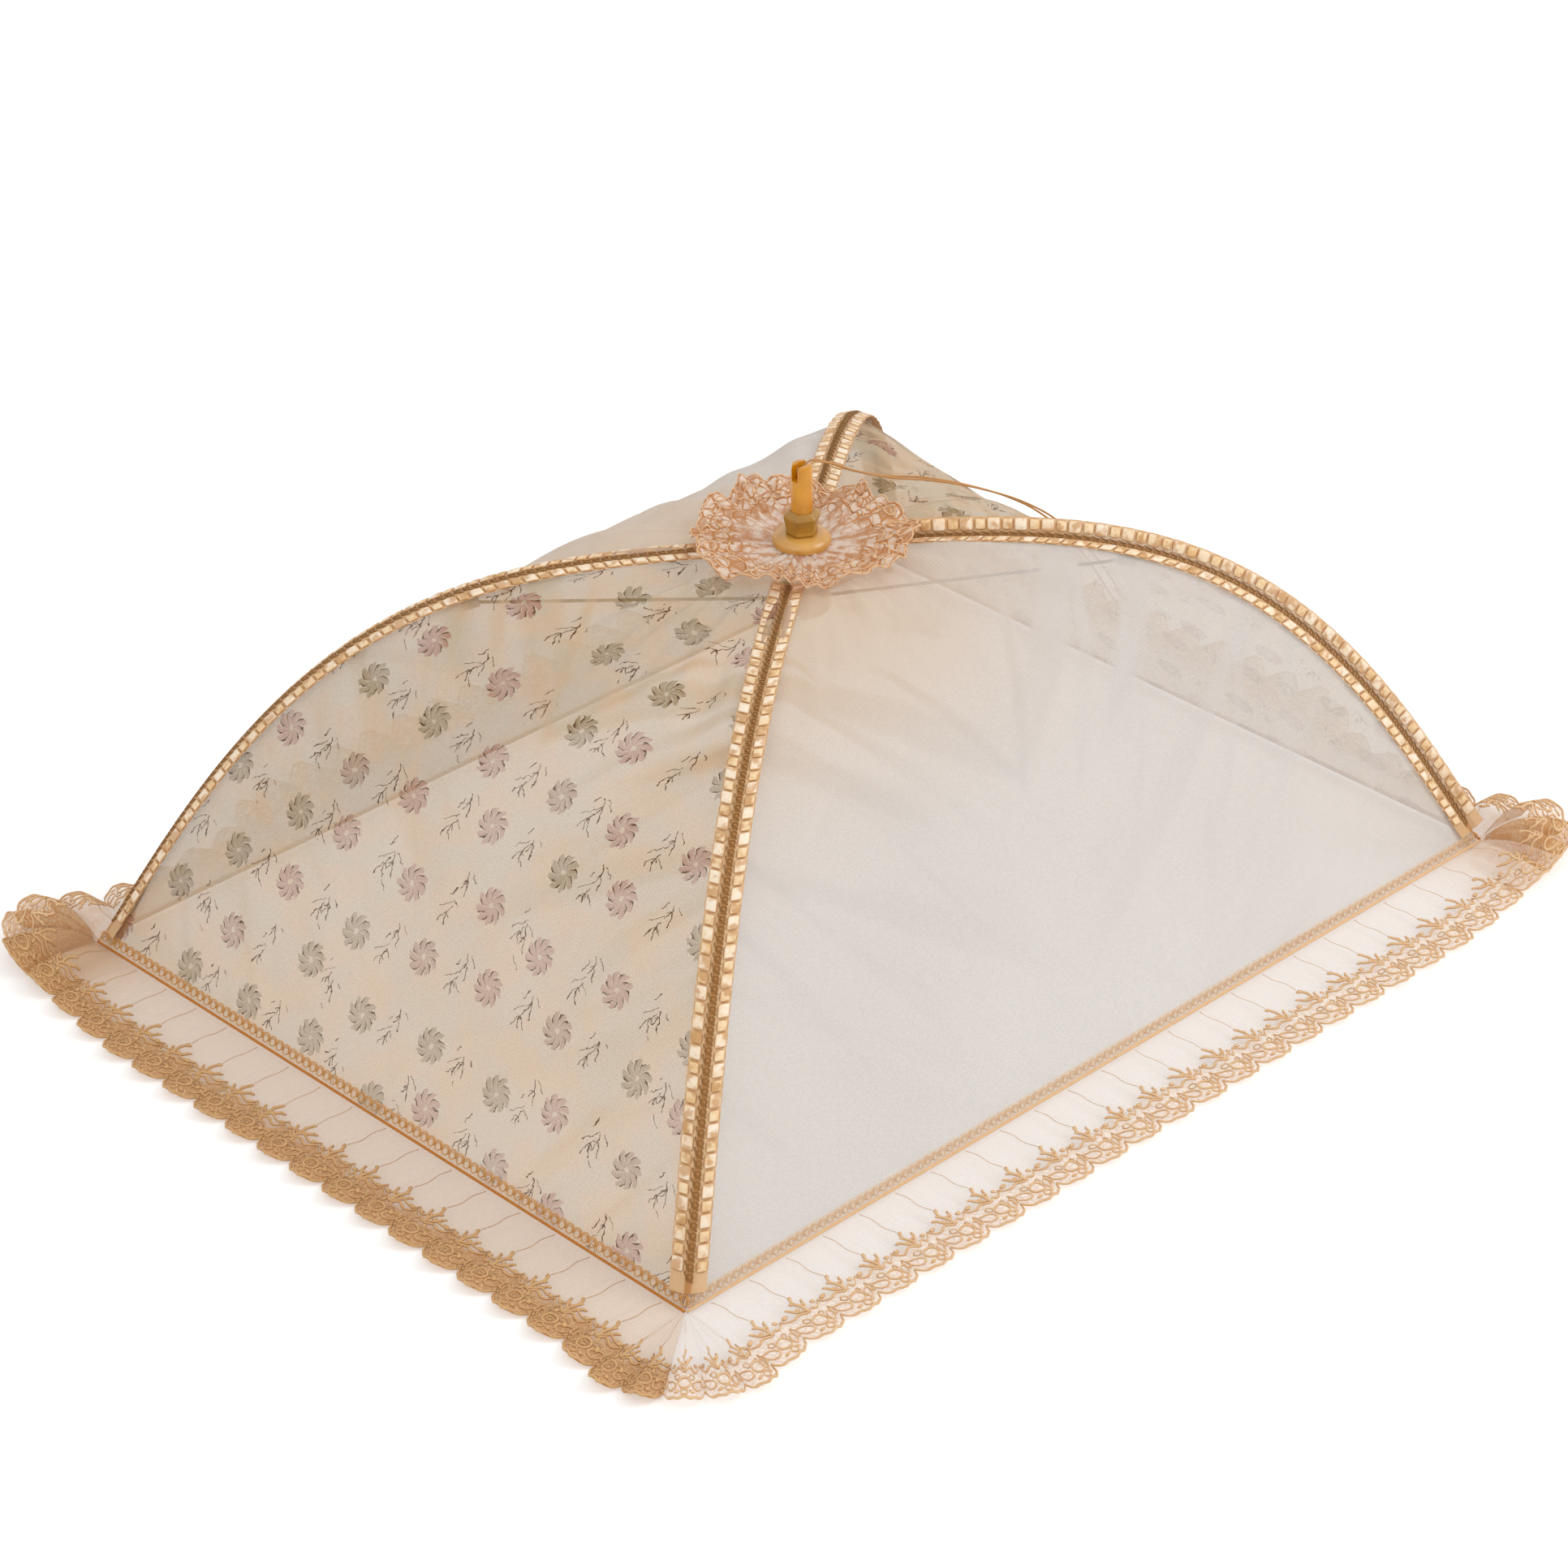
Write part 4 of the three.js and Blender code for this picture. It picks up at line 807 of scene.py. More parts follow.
class Workpiece:
    """Gathers cords, leaves and grids into one mesh whose UV map is in metres."""

    def __init__(self):
        self.points, self.faces, self.uvs = [], [], []

    def add(self, points, faces, uvs):
        first = len(self.points)
        self.points += np.asarray(points, float).reshape(-1, 3).tolist()
        self.uvs += np.asarray(uvs, float).reshape(-1, 2).tolist()
        self.faces += [[int(corner) + first for corner in face] for face in faces]

    def grid(self, points, uvs, outward):
        """A sheet of quads over an array of points, turned so that its faces look outward."""
        rows, columns = points.shape[:2]
        index = np.arange(rows * columns).reshape(rows, columns)
        faces = np.stack([index[:-1, :-1], index[1:, :-1], index[1:, 1:], index[:-1, 1:]], -1)
        faces = faces.reshape(-1, 4)
        corners = points.reshape(-1, 3)[faces]
        diagonals = np.cross(corners[:, 2] - corners[:, 0], corners[:, 3] - corners[:, 1])
        if diagonals.sum(0) @ outward < 0:
            faces = faces[:, ::-1]
        self.add(points, faces, uvs)
        return self

    def cord(self, path, radius, sides=4, flat=1.0, closed=False, up=UP):
        """A round cord along a path, or a ring where it is closed. Flat squeezes it along up."""
        path = np.asarray(path, float)
        ahead, behind = np.roll(path, -1, 0), np.roll(path, 1, 0)
        if not closed:
            ahead[-1], behind[0] = path[-1], path[0]
        heading = unit(ahead - behind)
        lift, lifts = np.asarray(up, float), np.empty_like(path)
        for place, forward in enumerate(heading):
            lift = unit(lift - (lift @ forward) * forward)
            lifts[place] = lift
        beside = np.cross(heading, lifts)
        turn = 2 * np.pi * (np.arange(sides) + 0.5) / sides
        ring = (
            path[:, None]
            + radius * np.cos(turn)[None, :, None] * beside[:, None]
            + radius * flat * np.sin(turn)[None, :, None] * lifts[:, None]
        )
        along = running_length(np.linalg.norm(np.diff(path, axis=0), axis=1))
        uvs = pairs((np.arange(sides) / sides)[None], along[:, None])
        self.add(ring, ring_faces(len(path), sides, closed), uvs)

    def ring(self, centre, radius, count, thread, sides=4, flat=1.0, stretch=1.0):
        """A closed cord round a circle of count points, given in millimetres."""
        path = arc(centre, radius, 0, 360 - 360 / count, count, stretch)
        self.cord(path, thread, sides, flat, closed=True)

    def leaf(self, x, y, length, width, turn, height, rim=8):
        """A raised oval of stitches lying in the XY plane, given in millimetres."""
        angle = 2 * np.pi * np.arange(rim) / rim
        over, up = length / 2 * np.cos(angle), width / 2 * np.sin(angle)
        cosine, sine = math.cos(turn), math.sin(turn)
        edge = np.column_stack([cosine * over - sine * up, sine * over + cosine * up])
        low = np.column_stack([edge + (x, y), np.full(rim, -height / 3)])
        high = np.column_stack([edge * 0.6 + (x, y), np.full(rim, height)])
        points = np.vstack([low, high]) * MM
        self.add(points, turned_over(ring_faces(2, rim)), points[:, :2])

    def piece(self, name, finish=None):
        mesh = bpy.data.meshes.new(name)
        mesh.from_pydata(self.points, [], self.faces)
        corners = np.empty(len(mesh.loops), np.int32)
        mesh.loops.foreach_get("vertex_index", corners)
        layer = mesh.uv_layers.new(name="UVMap")
        layer.data.foreach_set("uv", np.asarray(self.uvs, np.float32)[corners].ravel())
        mesh.shade_smooth()
        if finish:
            mesh.materials.append(finish_named(finish))
        return new_object(name, mesh)


def turned_piece(name, profile, sides, finish):
    """A solid of that many sides about Z with a bore, from radii and heights that close on themselves."""
    turn = (2 * np.pi * np.arange(sides) / sides)[:, None]
    radius, height = np.transpose(profile)
    points = np.stack(np.broadcast_arrays(radius * np.sin(turn), radius * np.cos(turn), height), -1)
    mesh = bpy.data.meshes.new(name)
    mesh.from_pydata(points.reshape(-1, 3).tolist(), [], ring_faces(sides, len(profile), closed=True))
    with editing(mesh) as work:
        bmesh.ops.recalc_face_normals(work, faces=work.faces)
    mesh.materials.append(finish_named(finish))
    return new_object(name, mesh)


def settle(piece):
    """Applies a piece's modifiers and leaves it one plain mesh at the origin."""
    bpy.context.view_layer.update()
    evaluated = piece.evaluated_get(bpy.context.evaluated_depsgraph_get())
    mesh = bpy.data.meshes.new_from_object(evaluated)
    old = piece.data
    piece.modifiers.clear()
    piece.data = mesh
    mesh.name = piece.name
    bpy.data.meshes.remove(old)
    return piece


def discard(*pieces):
    for piece in pieces:
        mesh = piece.data
        bpy.data.objects.remove(piece)
        bpy.data.meshes.remove(mesh)


# A tree of geometry nodes that lays copies of a flat motif on a surface, by the surface's UV map

LAY_INPUTS = {
    "Motif": "NodeSocketObject", "Surface": "NodeSocketObject", "Count": "NodeSocketInt",
    "Start": "NodeSocketVector", "Step": "NodeSocketVector", "Lift": "NodeSocketFloat",
    "Material": "NodeSocketMaterial",
}


def lay_tree():
    """Copies stand in a row on the UV plane, then each point moves to where its UV place is on the
    surface, its height above the plane kept along the surface's normal."""
    name = "lay_motifs_on_surface"
    if name in bpy.data.node_groups:
        return bpy.data.node_groups[name]
    tree = bpy.data.node_groups.new(name, "GeometryNodeTree")
    for label, kind in LAY_INPUTS.items():
        tree.interface.new_socket(label, in_out="INPUT", socket_type=kind)
    tree.interface.new_socket("Geometry", in_out="OUTPUT", socket_type="NodeSocketGeometry")
    node = partial(add_node, tree)
    given = node("NodeGroupInput").outputs
    line = {"Count": given["Count"], "Start Location": given["Start"], "Offset": given["Step"]}
    row = node("GeometryNodeMeshLine", inputs=line, mode="OFFSET")
    motif, surface = [
        node("GeometryNodeObjectInfo", inputs={"Object": given[label]}).outputs["Geometry"]
        for label in ("Motif", "Surface")]
    copies = node("GeometryNodeInstanceOnPoints", inputs={"Points": row, "Instance": motif})
    flat = node("GeometryNodeRealizeInstances", copies)
    where = node("GeometryNodeInputPosition")
    chart = node("GeometryNodeInputNamedAttribute", "UVMap", data_type="FLOAT_VECTOR")
    place, normal = [
        node("GeometryNodeSampleUVSurface", data_type="FLOAT_VECTOR", inputs={
            "Mesh": surface, "Value": value, "UV Map": chart, "Sample UV": where}).outputs["Value"]
        for value in (where, node("GeometryNodeInputNormal"))]
    height = node("ADD", node("split", where).outputs[2], given["Lift"])
    direction = node("ShaderNodeVectorMath", normal, operation="NORMALIZE")
    rise = node("ShaderNodeVectorMath", direction, inputs={"Scale": height}, operation="SCALE")
    target = node("ShaderNodeVectorMath", place, rise, operation="ADD")
    laid = node("GeometryNodeSetPosition", inputs={"Geometry": flat, "Position": target})
    whole = node("GeometryNodeRealizeInstances", laid)
    dressed = {"Geometry": whole, "Material": given["Material"]}
    node("NodeGroupOutput", node("GeometryNodeSetMaterial", inputs=dressed))
    return tree


def lay(name, motif, surface, count, start, step, lift, finish):
    """One plain mesh of count copies of a motif on a surface, start and step on its UV map."""
    piece = new_object(name, bpy.data.meshes.new(name))
    modifier = piece.modifiers.new("Lay", "NODES")
    modifier.node_group = lay_tree()
    values = {
        "Motif": motif, "Surface": surface, "Count": count, "Start": (*start, 0.0),
        "Step": (*step, 0.0), "Lift": lift, "Material": finish_named(finish),
    }
    for socket in modifier.node_group.interface.items_tree:
        if socket.in_out == "INPUT":
            modifier[socket.identifier] = values[socket.name]
    return settle(piece)


# Flat motifs of the lace. Their places are in millimetres

def arc(centre, radius, start, end, steps, stretch=1.0):
    turn = np.radians(np.linspace(start, end, steps))
    x = centre[0] + radius * np.cos(turn)
    y = centre[1] + radius * stretch * np.sin(turn)
    return np.column_stack([x, y, np.zeros(steps)]) * MM


def curve(points, steps):
    """A smooth path through a few given points."""
    points = np.asarray(points, float) * MM
    if points.shape[1] == 2:
        points = np.column_stack([points, np.zeros(len(points))])
    ends = np.vstack([2 * points[0] - points[1], points, 2 * points[-1] - points[-2]])
    path = []
    for place in range(len(points) - 1):
        a, b, c, d = ends[place:place + 4]
        for t in np.linspace(0.0, 1.0, steps, endpoint=False):
            path.append(0.5 * (2 * b + (c - a) * t + (2 * a - 5 * b + 4 * c - d) * t * t
                               + (3 * b - a - 3 * c + d) * t ** 3))
    return np.asarray([*path, points[-1]])


def scalloped_edge(middle, dip):
    """The corded edge of one repeat of lace, with how far out it is at the middle and at a dip."""
    side = [(4.1, 82.0), (8.2, dip), (12.2, 81.4), (PITCH / 2 / MM, 79.6)]
    return curve([*((-x, y) for x, y in reversed(side)), (0, middle), *side], 3)


# Sprigs up each stem: x, y and turn
SPRIGS = ((-1.6, 37.5, 1.2), (1.6, 42.5, 2.2), (-7.4, 43.2, 0.6), (7.0, 45.8, 2.4), (-2.8, 47.6, 0.4),
          (3.0, 49.0, 2.9))


def border_motif(name, radius, dense):
    """One repeat of the flounce's lace: a stem, a sprig, festoons, rings and the scalloped edge.
    X runs along the hem, 0 at the scallop's crest, and Y from the hem to the edge."""
    work = Workpiece()
    half = PITCH / 2 / MM
    work.cord(curve([(0.6, 3), (-0.8, 13), (0.7, 24), (-1.0, 35)], 3), radius * 0.36, 3)
    work.cord(curve([(-1.2, 36.5), (0.8, 43), (-0.4, 49), (0, 57)], 3), radius * 1.6)
    work.cord(curve([(-7.0, 43.0), (-4.2, 48.5), (0, 52)], 3), radius * 1.5)
    work.cord(curve([(6.6, 46.0), (4.2, 50.5), (0, 54.5)], 3), radius * 1.5)
    for x, y, turn in SPRIGS:
        work.leaf(x, y, 4.2, 2.5, turn, 0.7)
    for side in (-1, 1):
        festoon = [(0.5 * side, 57), (5.5 * side, 53.4), (10.5 * side, 57.0), (half * side, 55.0)]
        work.cord(curve(festoon, 3), radius * 1.35)
        work.ring((11.0 * side, 69.6), 4.3, 10, radius * 1.15)
        work.ring((6.2 * side, 62.2), 2.3, 6, radius, 3)
        work.cord(curve([(half * side, 65), (14.6 * side, 70), (half * side, 76)], 2), radius)
        work.leaf(12.2 * side, 51.2, 6.0, 3.0, 0.9 * side, 0.7)
        work.leaf(5.4 * side, 75.4, 4.6, 2.6, 0.6 * side, 0.6)
        if dense:
            work.leaf(8.8 * side, 65.4, 6.4, 2.8, (math.pi / 2 - 0.4) * side, 0.6)
            work.leaf(14.8 * side, 76.5, 4.2, 2.6, 0.9 * side, 0.6)
            work.leaf(3.2 * side, 58.5, 5.6, 2.3, (math.pi / 2 - 0.2) * side, 0.5)
            chain = [(2.5 * side, 47.5), (7.5 * side, 50.5), (12 * side, 52), (half * side, 51)]
            work.cord(curve(chain, 3), radius * 1.1)
    work.ring((0, 67.4), 5.0, 16, radius * 1.35)
    if dense:
        work.ring((0, 67.4), 2.2, 8, radius * 0.8, 3)
    work.ring((0, 76.2), 2.6, 8, radius * 1.1)
    work.cord(scalloped_edge(80.4, 79.9), radius * 1.5)
    return work.piece(name)


def rosette_motif(name, radius):
    """One repeat of the rosette's edge: a scalloped cord, rings, festoons and two leaves."""
    work = Workpiece()
    for side in (-1, 1):
        work.ring((9.6 * side, 71.0), 4.6, 10, radius)
        work.leaf(4.6 * side, 62.0, 7.0, 3.2, 1.1 * side, 0.8)
        work.cord(curve([(0, 52), (6 * side, 56.5), (PITCH / 2 / MM * side, 53.0)], 3), radius)
    work.ring((0, 72.4), 3.4, 12, radius)
    work.cord(scalloped_edge(80.0, 79.4), radius * 1.2)
    return work.piece(name)


def ladder_motif(name, pitch, size):
    """A ring of corded lace over the hem with an arch round it that meets its neighbours."""
    work = Workpiece()
    work.ring((0, 4.2 * size), 2.6 * size, 12, 0.42 * MM, 4, 0.8)
    work.cord(arc((0, 4.6 * size), pitch / 2 / MM * 1.02, 200, -20, 9, size), 0.55 * MM * size, 4, 0.8)
    return work.piece(name)


def chain_motif(name, pitch):
    """A curled loop of dark yarn with a short tail, one link of the tape's centre."""
    work = Workpiece()
    work.ring((0.4, pitch / 2 / MM), 2.1, 10, 0.42 * MM, stretch=1.1)
    work.cord(curve([(-2.9, -0.6), (-2.3, 2.0), (1.6, 4.8), (2.6, 7.0)], 3), 0.42 * MM)
    return work.piece(name)


def tab_motif(name, length, width):
    """A satin-stitched block with rounded corners and a raised edge."""
    corner, rounds = 2.6, []
    for sign_x, sign_y, first in ((1, 1, 0), (-1, 1, 90), (-1, -1, 180), (1, -1, 270)):
        centre = (sign_x * (width / MM / 2 - corner), sign_y * (length / MM / 2 - corner))
        rounds.append(arc(centre, corner, first, first + 90, 4)[:, :2])
    edge = np.vstack(rounds)
    levels = ((1.0, -0.2 * MM), (1.0, 0.25 * MM), (0.86, 0.62 * MM))
    points = np.vstack([
        np.column_stack([edge * share, np.full(len(edge), height)]) for share, height in levels])
    work = Workpiece()
    faces = turned_over(ring_faces(len(levels), len(edge)))
    work.add(points, faces, points[:, :2] / (width / 2, length / 2))
    return work.piece(name)


# Surfaces. A guide is a little larger than its cloth: motifs are laid on it, and it is taken away

def flounce_guide(side):
    last = side.last_wave
    wave = np.linspace(-0.15, last + 0.15, 24 * last)[:, None]
    row = np.linspace(0.0, 1.06, 26)[None]
    uvs = pairs(wave * PITCH, row * LACE_DEPTH)
    return Workpiece().grid(side.flounce(wave, row), uvs, UP).piece("flounce_guide")


def hem_guide(side):
    """The panel's lowest strip, its height measured up the cloth from the hem."""
    reach = np.linspace(REACH - 0.014, REACH, 30)
    steps = np.hypot(np.diff(reach) * side.out_share, np.diff(rib_height(reach)))
    rise = running_length(steps[::-1])[::-1]
    along = np.linspace(-0.006, side.half + 0.006, 60)
    points = side.veil(reach[:, None], 1.0 - along / (side.along_share * reach[:, None]))
    return Workpiece().grid(points, pairs(along, rise[:, None]), side.out + 0.3 * UP).piece("hem_guide")


def tape_surface(corner, across, reach):
    """Points over a rib, across from the printed side (negative) to the plain side. The tape bends
    less than the cloth under it, so its edges stand off the panels."""
    plain, printed = SIDE_OF[corner, "plain"], SIDE_OF[corner, "printed"]
    across, reach = np.broadcast_arrays(across[None], reach[:, None])
    between = unit(plain.normal(reach) + printed.normal(reach))
    ridge = plain.point(reach, 0.0)
    off = np.abs(across)
    halves = []
    for side in (plain, printed):
        level = RIGHT_TAPE_FLATNESS[side.kind] if corner == "right" else TAPE_FLATNESS
        stands = corner == "right" and side is printed
        turn = RIGHT_TAPE_STANDING * ease(off / 0.006)[..., None] if stands else 0.0
        on_cloth = side.point(reach, off / (side.along_share * reach))
        flat = ridge + off[..., None] * (np.cos(turn) * side.across + np.sin(turn) * between)
        lying = (1.0 - level) * side.normal(reach) + level * between
        halves.append((on_cloth + (flat - on_cloth) * level,
                       np.cos(turn) * lying - np.sin(turn) * side.across))
    base = np.where((across >= 0)[..., None], halves[0][0], halves[1][0])
    mix = ease(0.5 + across / 0.008)[..., None]
    return base + TAPE_LIFT * unit(mix * halves[0][1] + (1.0 - mix) * halves[1][1])


def tape_grid(name, corner, margin, half, finish=None):
    """A piece over a rib's tape, longer by a margin at each end, and the tape's length."""
    reach = np.linspace(TAPE_START - margin, TAPE_END + margin, 160)
    across = np.linspace(-half, half, 21)
    lengths = running_length(np.hypot(np.diff(reach), np.diff(rib_height(reach))))
    lengths -= np.interp(TAPE_START, reach, lengths)
    points = tape_surface(corner, across, reach)
    piece = Workpiece().grid(points, pairs(across, lengths[:, None]), UP).piece(name, finish)
    return piece, lengths[-1] - margin


def rosette_points(turn, row):
    crest = (1.0 - np.cos(ROSETTE_PLEATS * turn)) / 2.0
    wander = 0.5 + 0.3 * np.sin(3.0 * turn + 0.9) + 0.2 * np.sin(7.0 * turn + 2.3)
    scallop = ROSETTE_SCALLOP * (1.0 - crest) + ROSETTE_UNEVEN * wander
    radius = ROSETTE_INNER + row * (ROSETTE_RADIUS - ROSETTE_INNER - scallop)
    held = np.clip(row, 0.0, 1.1)
    uneven = np.sin(29.0 * turn + 2.0 * np.sin(5.0 * turn)) + 0.7 * np.sin(7.0 * turn + 0.8)
    pleats = 3.6 * MM * (1.0 + uneven / 1.7) * held ** 0.8
    broad = 0.5 + 0.5 * np.sin(5.0 * turn + 1.1 + 1.4 * np.sin(2.0 * turn))
    wave = ROSETTE_WAVE * held * held * (0.55 * crest + 0.60 * broad)
    rise = 2 * MM * ease(2.0 * (row - 0.17)) + wave + pleats
    swing = 0.05 * held * held * np.sin(5.0 * turn + 2.6)
    height = ROSETTE_BOTTOM + 0.5 * MM + np.maximum(rise, 0.0)
    return np.stack([radius * np.cos(turn + swing), radius * np.sin(turn + swing), height], -1)


def rosette_grid(name, overlap, steps, top_row, finish=None):
    """The rosette's round, past its own start by an overlap in radians at both ends."""
    turn = np.linspace(-overlap, 2 * math.pi + overlap, steps)[:, None]
    turn, row = np.broadcast_arrays(turn, np.linspace(0.0, top_row, 30))
    uvs = pairs(turn * ROSETTE_RADIUS, row * LACE_DEPTH)
    return Workpiece().grid(rosette_points(turn, row), uvs, UP).piece(name, finish)


# Joining pieces to the frame

def dress_as(node=None):
    """Lets the piece stand for a CAD node where one is named, by hiding that node."""
    if node:
        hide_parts(node)


def ride_with(piece, body, node=None):
    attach(piece, body)
    dress_as(node)


def bend_with(piece, node=None):
    """Bakes the piece's place into its mesh, and lets it stand for a CAD node where one is named."""
    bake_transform(piece)
    dress_as(node)


def dress_node(name, finish):
    """Gives a CAD node that stays in sight its procedural material."""
    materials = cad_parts[name].data.materials
    materials.clear()
    materials.append(finish_named(finish))


def widest_radius(node):
    """The largest distance of a crown node from the axis, from the frame."""
    low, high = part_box(node)
    return max(high.x, -low.x, high.y, -low.y)


# Operators, one for each piece or group of like pieces

class FOODCOVER_OT_stage(bpy.types.Operator):
    """Sets the camera, the lamps, the pale floor and the world"""

    bl_idname = "food_cover.stage"
    bl_label = "Camera, lights and floor"

    def execute(self, context):
        stage = context.scene.food_cover_stage
        camera = new_object("camera", bpy.data.cameras.new("camera"))
        camera.data.lens = stage.lens
        camera.data.sensor_width = SENSOR_WIDTH
        camera.data.clip_end = CAMERA_SIGHT
        self.point_from(camera, stage.camera_place, Vector(stage.camera_heading))
        context.scene.camera = camera
        for name, place, size, share in LAMPS:
            lamp = new_object(name, bpy.data.lights.new(name, "AREA"))
            lamp.data.size, lamp.data.energy = size, stage.key_power * share
            self.point_from(lamp, place, LAMP_AIM - Vector(place))
        self.floor()
        self.world(context.scene, stage.sky_level)
        context.scene.view_settings.view_transform = "Standard"
        return {"FINISHED"}

    def point_from(self, holder, place, heading):
        holder.location = place
        holder.rotation_mode = "QUATERNION"
        holder.rotation_quaternion = heading.to_track_quat("-Z", "Y")

    def seen_as_background(self, node):
        """1 for a camera, mirror or glass ray and 0 for light on its way to the object."""
        path = node("ShaderNodeLightPath").outputs
        direct = node("MAXIMUM", path["Is Camera Ray"], path["Is Glossy Ray"])
        return node("MAXIMUM", direct, path["Is Transmission Ray"])

    def floor(self):
        """A matt pale floor that glows only as background, so its glow doesn't light the object."""
        mesh = bpy.data.meshes.new("floor")
        places = [(x * FLOOR_HALF, y * FLOOR_HALF, 0) for x, y in ((-1, -1), (1, -1), (1, 1), (-1, 1))]
        mesh.from_pydata(places, [], [(0, 1, 2, 3)])
        made, node, shader = material(
            "pale_matt_floor", Base_Color=linear("F2F1EF"), Roughness=0.9, Specular_IOR_Level=0.0,
            Emission_Color=WHITE)
        glow = node("MULTIPLY", self.seen_as_background(node), FLOOR_GLOW)
        feed(shader, {"Emission Strength": glow})
        mesh.materials.append(made)
        new_object("floor", mesh)

    def world(self, scene, sky_level):
        scene.world = bpy.data.worlds.new("studio")
        scene.world.use_nodes = True
        scene.world.node_tree.nodes.clear()
        node = partial(add_node, scene.world.node_tree)
        level = node("span", self.seen_as_background(node), sky_level, 1.0)
        node("ShaderNodeOutputWorld", node("ShaderNodeBackground", WHITE, level))


class FOODCOVER_OT_pull_cord(bpy.types.Operator):
    """Makes the doubled draw cord that leaves the tube's top and lies on the right printed panel"""

    bl_idname = "food_cover.pull_cord"
    bl_label = "Draw cord"

    def execute(self, context):
        path = curve(PULL_CORD_ROUTE, 6)
        work = Workpiece()
        work.cord(path, CORD_RADIUS, 10, up=(0.0, 1.0, 0.0))
        piece = work.piece("draw_cord", "draw_cord_viscose_yarn")
        ride_with(piece, "crown", "pull_cord")
        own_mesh(piece)
        return {"FINISHED"}


class FOODCOVER_OT_veils(bpy.types.Operator):
    """Makes the eight halves of the sheer panels"""

    bl_idname = "food_cover.veils"
    bl_label = "Sheer panels"

    def execute(self, context):
        cloth = context.scene.food_cover_cloth
        shares = np.linspace(0.0, 1.0, cloth.veil_columns + 1)
        falls = np.linspace(0.0, 1.0, cloth.veil_rows + 1)
        reach = CROWN_OPENING + (REACH - CROWN_OPENING) * (1.0 - (1.0 - falls) ** 1.35)
        for side in SIDES:
            middle = side.veil(reach, 1.0)
            down = running_length(np.linalg.norm(np.diff(middle, axis=0), axis=1))
            width = side.along_share * reach
            across = side.sign * width[:, None] * (1.0 - shares)
            work = Workpiece()
            work.grid(side.veil(reach[:, None], shares), pairs(across, down[:, None]), side.out + UP)
            piece = work.piece(f"veil_{side.name}", f"{side.kind}_polyester_voile")
            bend_with(piece, f"panel_{side.name}")
        return {"FINISHED"}


class FOODCOVER_OT_hems(bpy.types.Operator):
    """Makes the hem cords and the ladders of loops over them"""

    bl_idname = "food_cover.hems"
    bl_label = "Hem cords and ladders"

    def execute(self, context):
        lace = context.scene.food_cover_lace
        for side in SIDES:
            shade, size = ("pale_", 0.78) if side.kind == "plain" else ("", 1.0)
            along = np.linspace(0.0, side.half + HEM_ENDS[side.kind], 80)[:, None]
            path = side.out * (side.out_reach + HEM_OUT) + along * side.along + HEM_HEIGHT * UP
            work = Workpiece()
            work.cord(path, 1.0 * MM, 10, up=side.out)
            cord = work.piece(f"hem_cord_{side.name}", f"{shade}hem_viscose_yarn")
            bend_with(cord, f"hem_{side.name}")
            band, guide = self.band(side), hem_guide(side)
            count = int(side.half / lace.ladder_pitch)
            pitch = side.half / count
            motif = ladder_motif("ladder_motif", pitch, size)
            ladder = lay(
                f"hem_ladder_{side.name}", motif, guide, count, (pitch / 2, 0.0), (pitch, 0.0),
                0.8 * MM, f"{shade}ladder_viscose_yarn")
            discard(motif, guide)
            for piece in (band, ladder):
                bend_with(piece)
        return {"FINISHED"}

    def band(self, side):
        """A narrow strip of net, worked along the hem, that the loops stand on."""
        reach = np.linspace(REACH - HEM_BAND_HEIGHT, REACH, 6)[:, None]
        along = np.linspace(0.0, side.half, 120)
        share = np.maximum(1.0 - along / (side.along_share * reach), 0.0)
        points = side.point(reach, share, 0.6 * MM)
        rise = points[..., 2] - points[-1, 0, 2]
        work = Workpiece().grid(points, pairs(along, rise), side.out + 0.3 * UP)
        return work.piece(f"hem_band_{side.name}", "hem_nylon_tulle")


class FOODCOVER_OT_flounces(bpy.types.Operator):
    """Makes the flounce's net and the lace worked on it, in eight halves"""

    bl_idname = "food_cover.flounces"
    bl_label = "Lace flounce"

    def execute(self, context):
        radius = context.scene.food_cover_lace.thread_radius
        motifs = {
            "plain": border_motif("open_border_motif", radius, False),
            "printed": border_motif("dense_border_motif", radius * 1.1, True),
        }
        for side in SIDES:
            last = side.last_wave
            wave = np.linspace(0.0, last, 16 * last + 1)[:, None]
            row = np.linspace(0.0, 1.0, 19)[None]
            points = side.flounce(wave, row)
            work = Workpiece().grid(points, pairs(wave * PITCH, row * LACE_DEPTH), UP)
            # The flounces on the -X sides, which the key lamp doesn't face, take darker copies of the
            # tulle and the lace yarn: painted shade.
            tulle_shade, yarn = ("printed", "tan") if side.out[0] < 0 else ("plain", "lace")
            net = work.piece(f"flounce_net_{side.name}", f"{tulle_shade}_nylon_tulle")
            heaped = side.lobes(wave) * LOBE_DENSITY.get((side.corner, side.kind), 1.0)
            self.mark_gathers(net, np.broadcast_to(heaped, points.shape[:2]))
            guide = flounce_guide(side)
            lace = lay(
                f"flounce_lace_{side.name}", motifs[side.kind], guide, last, (PITCH / 2, 0.0),
                (PITCH, 0.0), 0.5 * MM, f"{yarn}_viscose_yarn")
            discard(guide)
            bend_with(net, f"flounce_{side.name}")
            bend_with(lace)
        discard(*motifs.values())
        return {"FINISHED"}

    def mark_gathers(self, net, heaped):
        """Where the net lies in folds its material is denser."""
        layer = net.data.attributes.new("gather", "FLOAT", "POINT")
        layer.data.foreach_set("value", np.ascontiguousarray(heaped, np.float32).ravel())

    def area(self, points):
        first = points[1:, 1:] - points[:-1, :-1]
        second = points[1:, :-1] - points[:-1, 1:]
        return np.linalg.norm(np.cross(first, second), axis=-1).sum() / 2


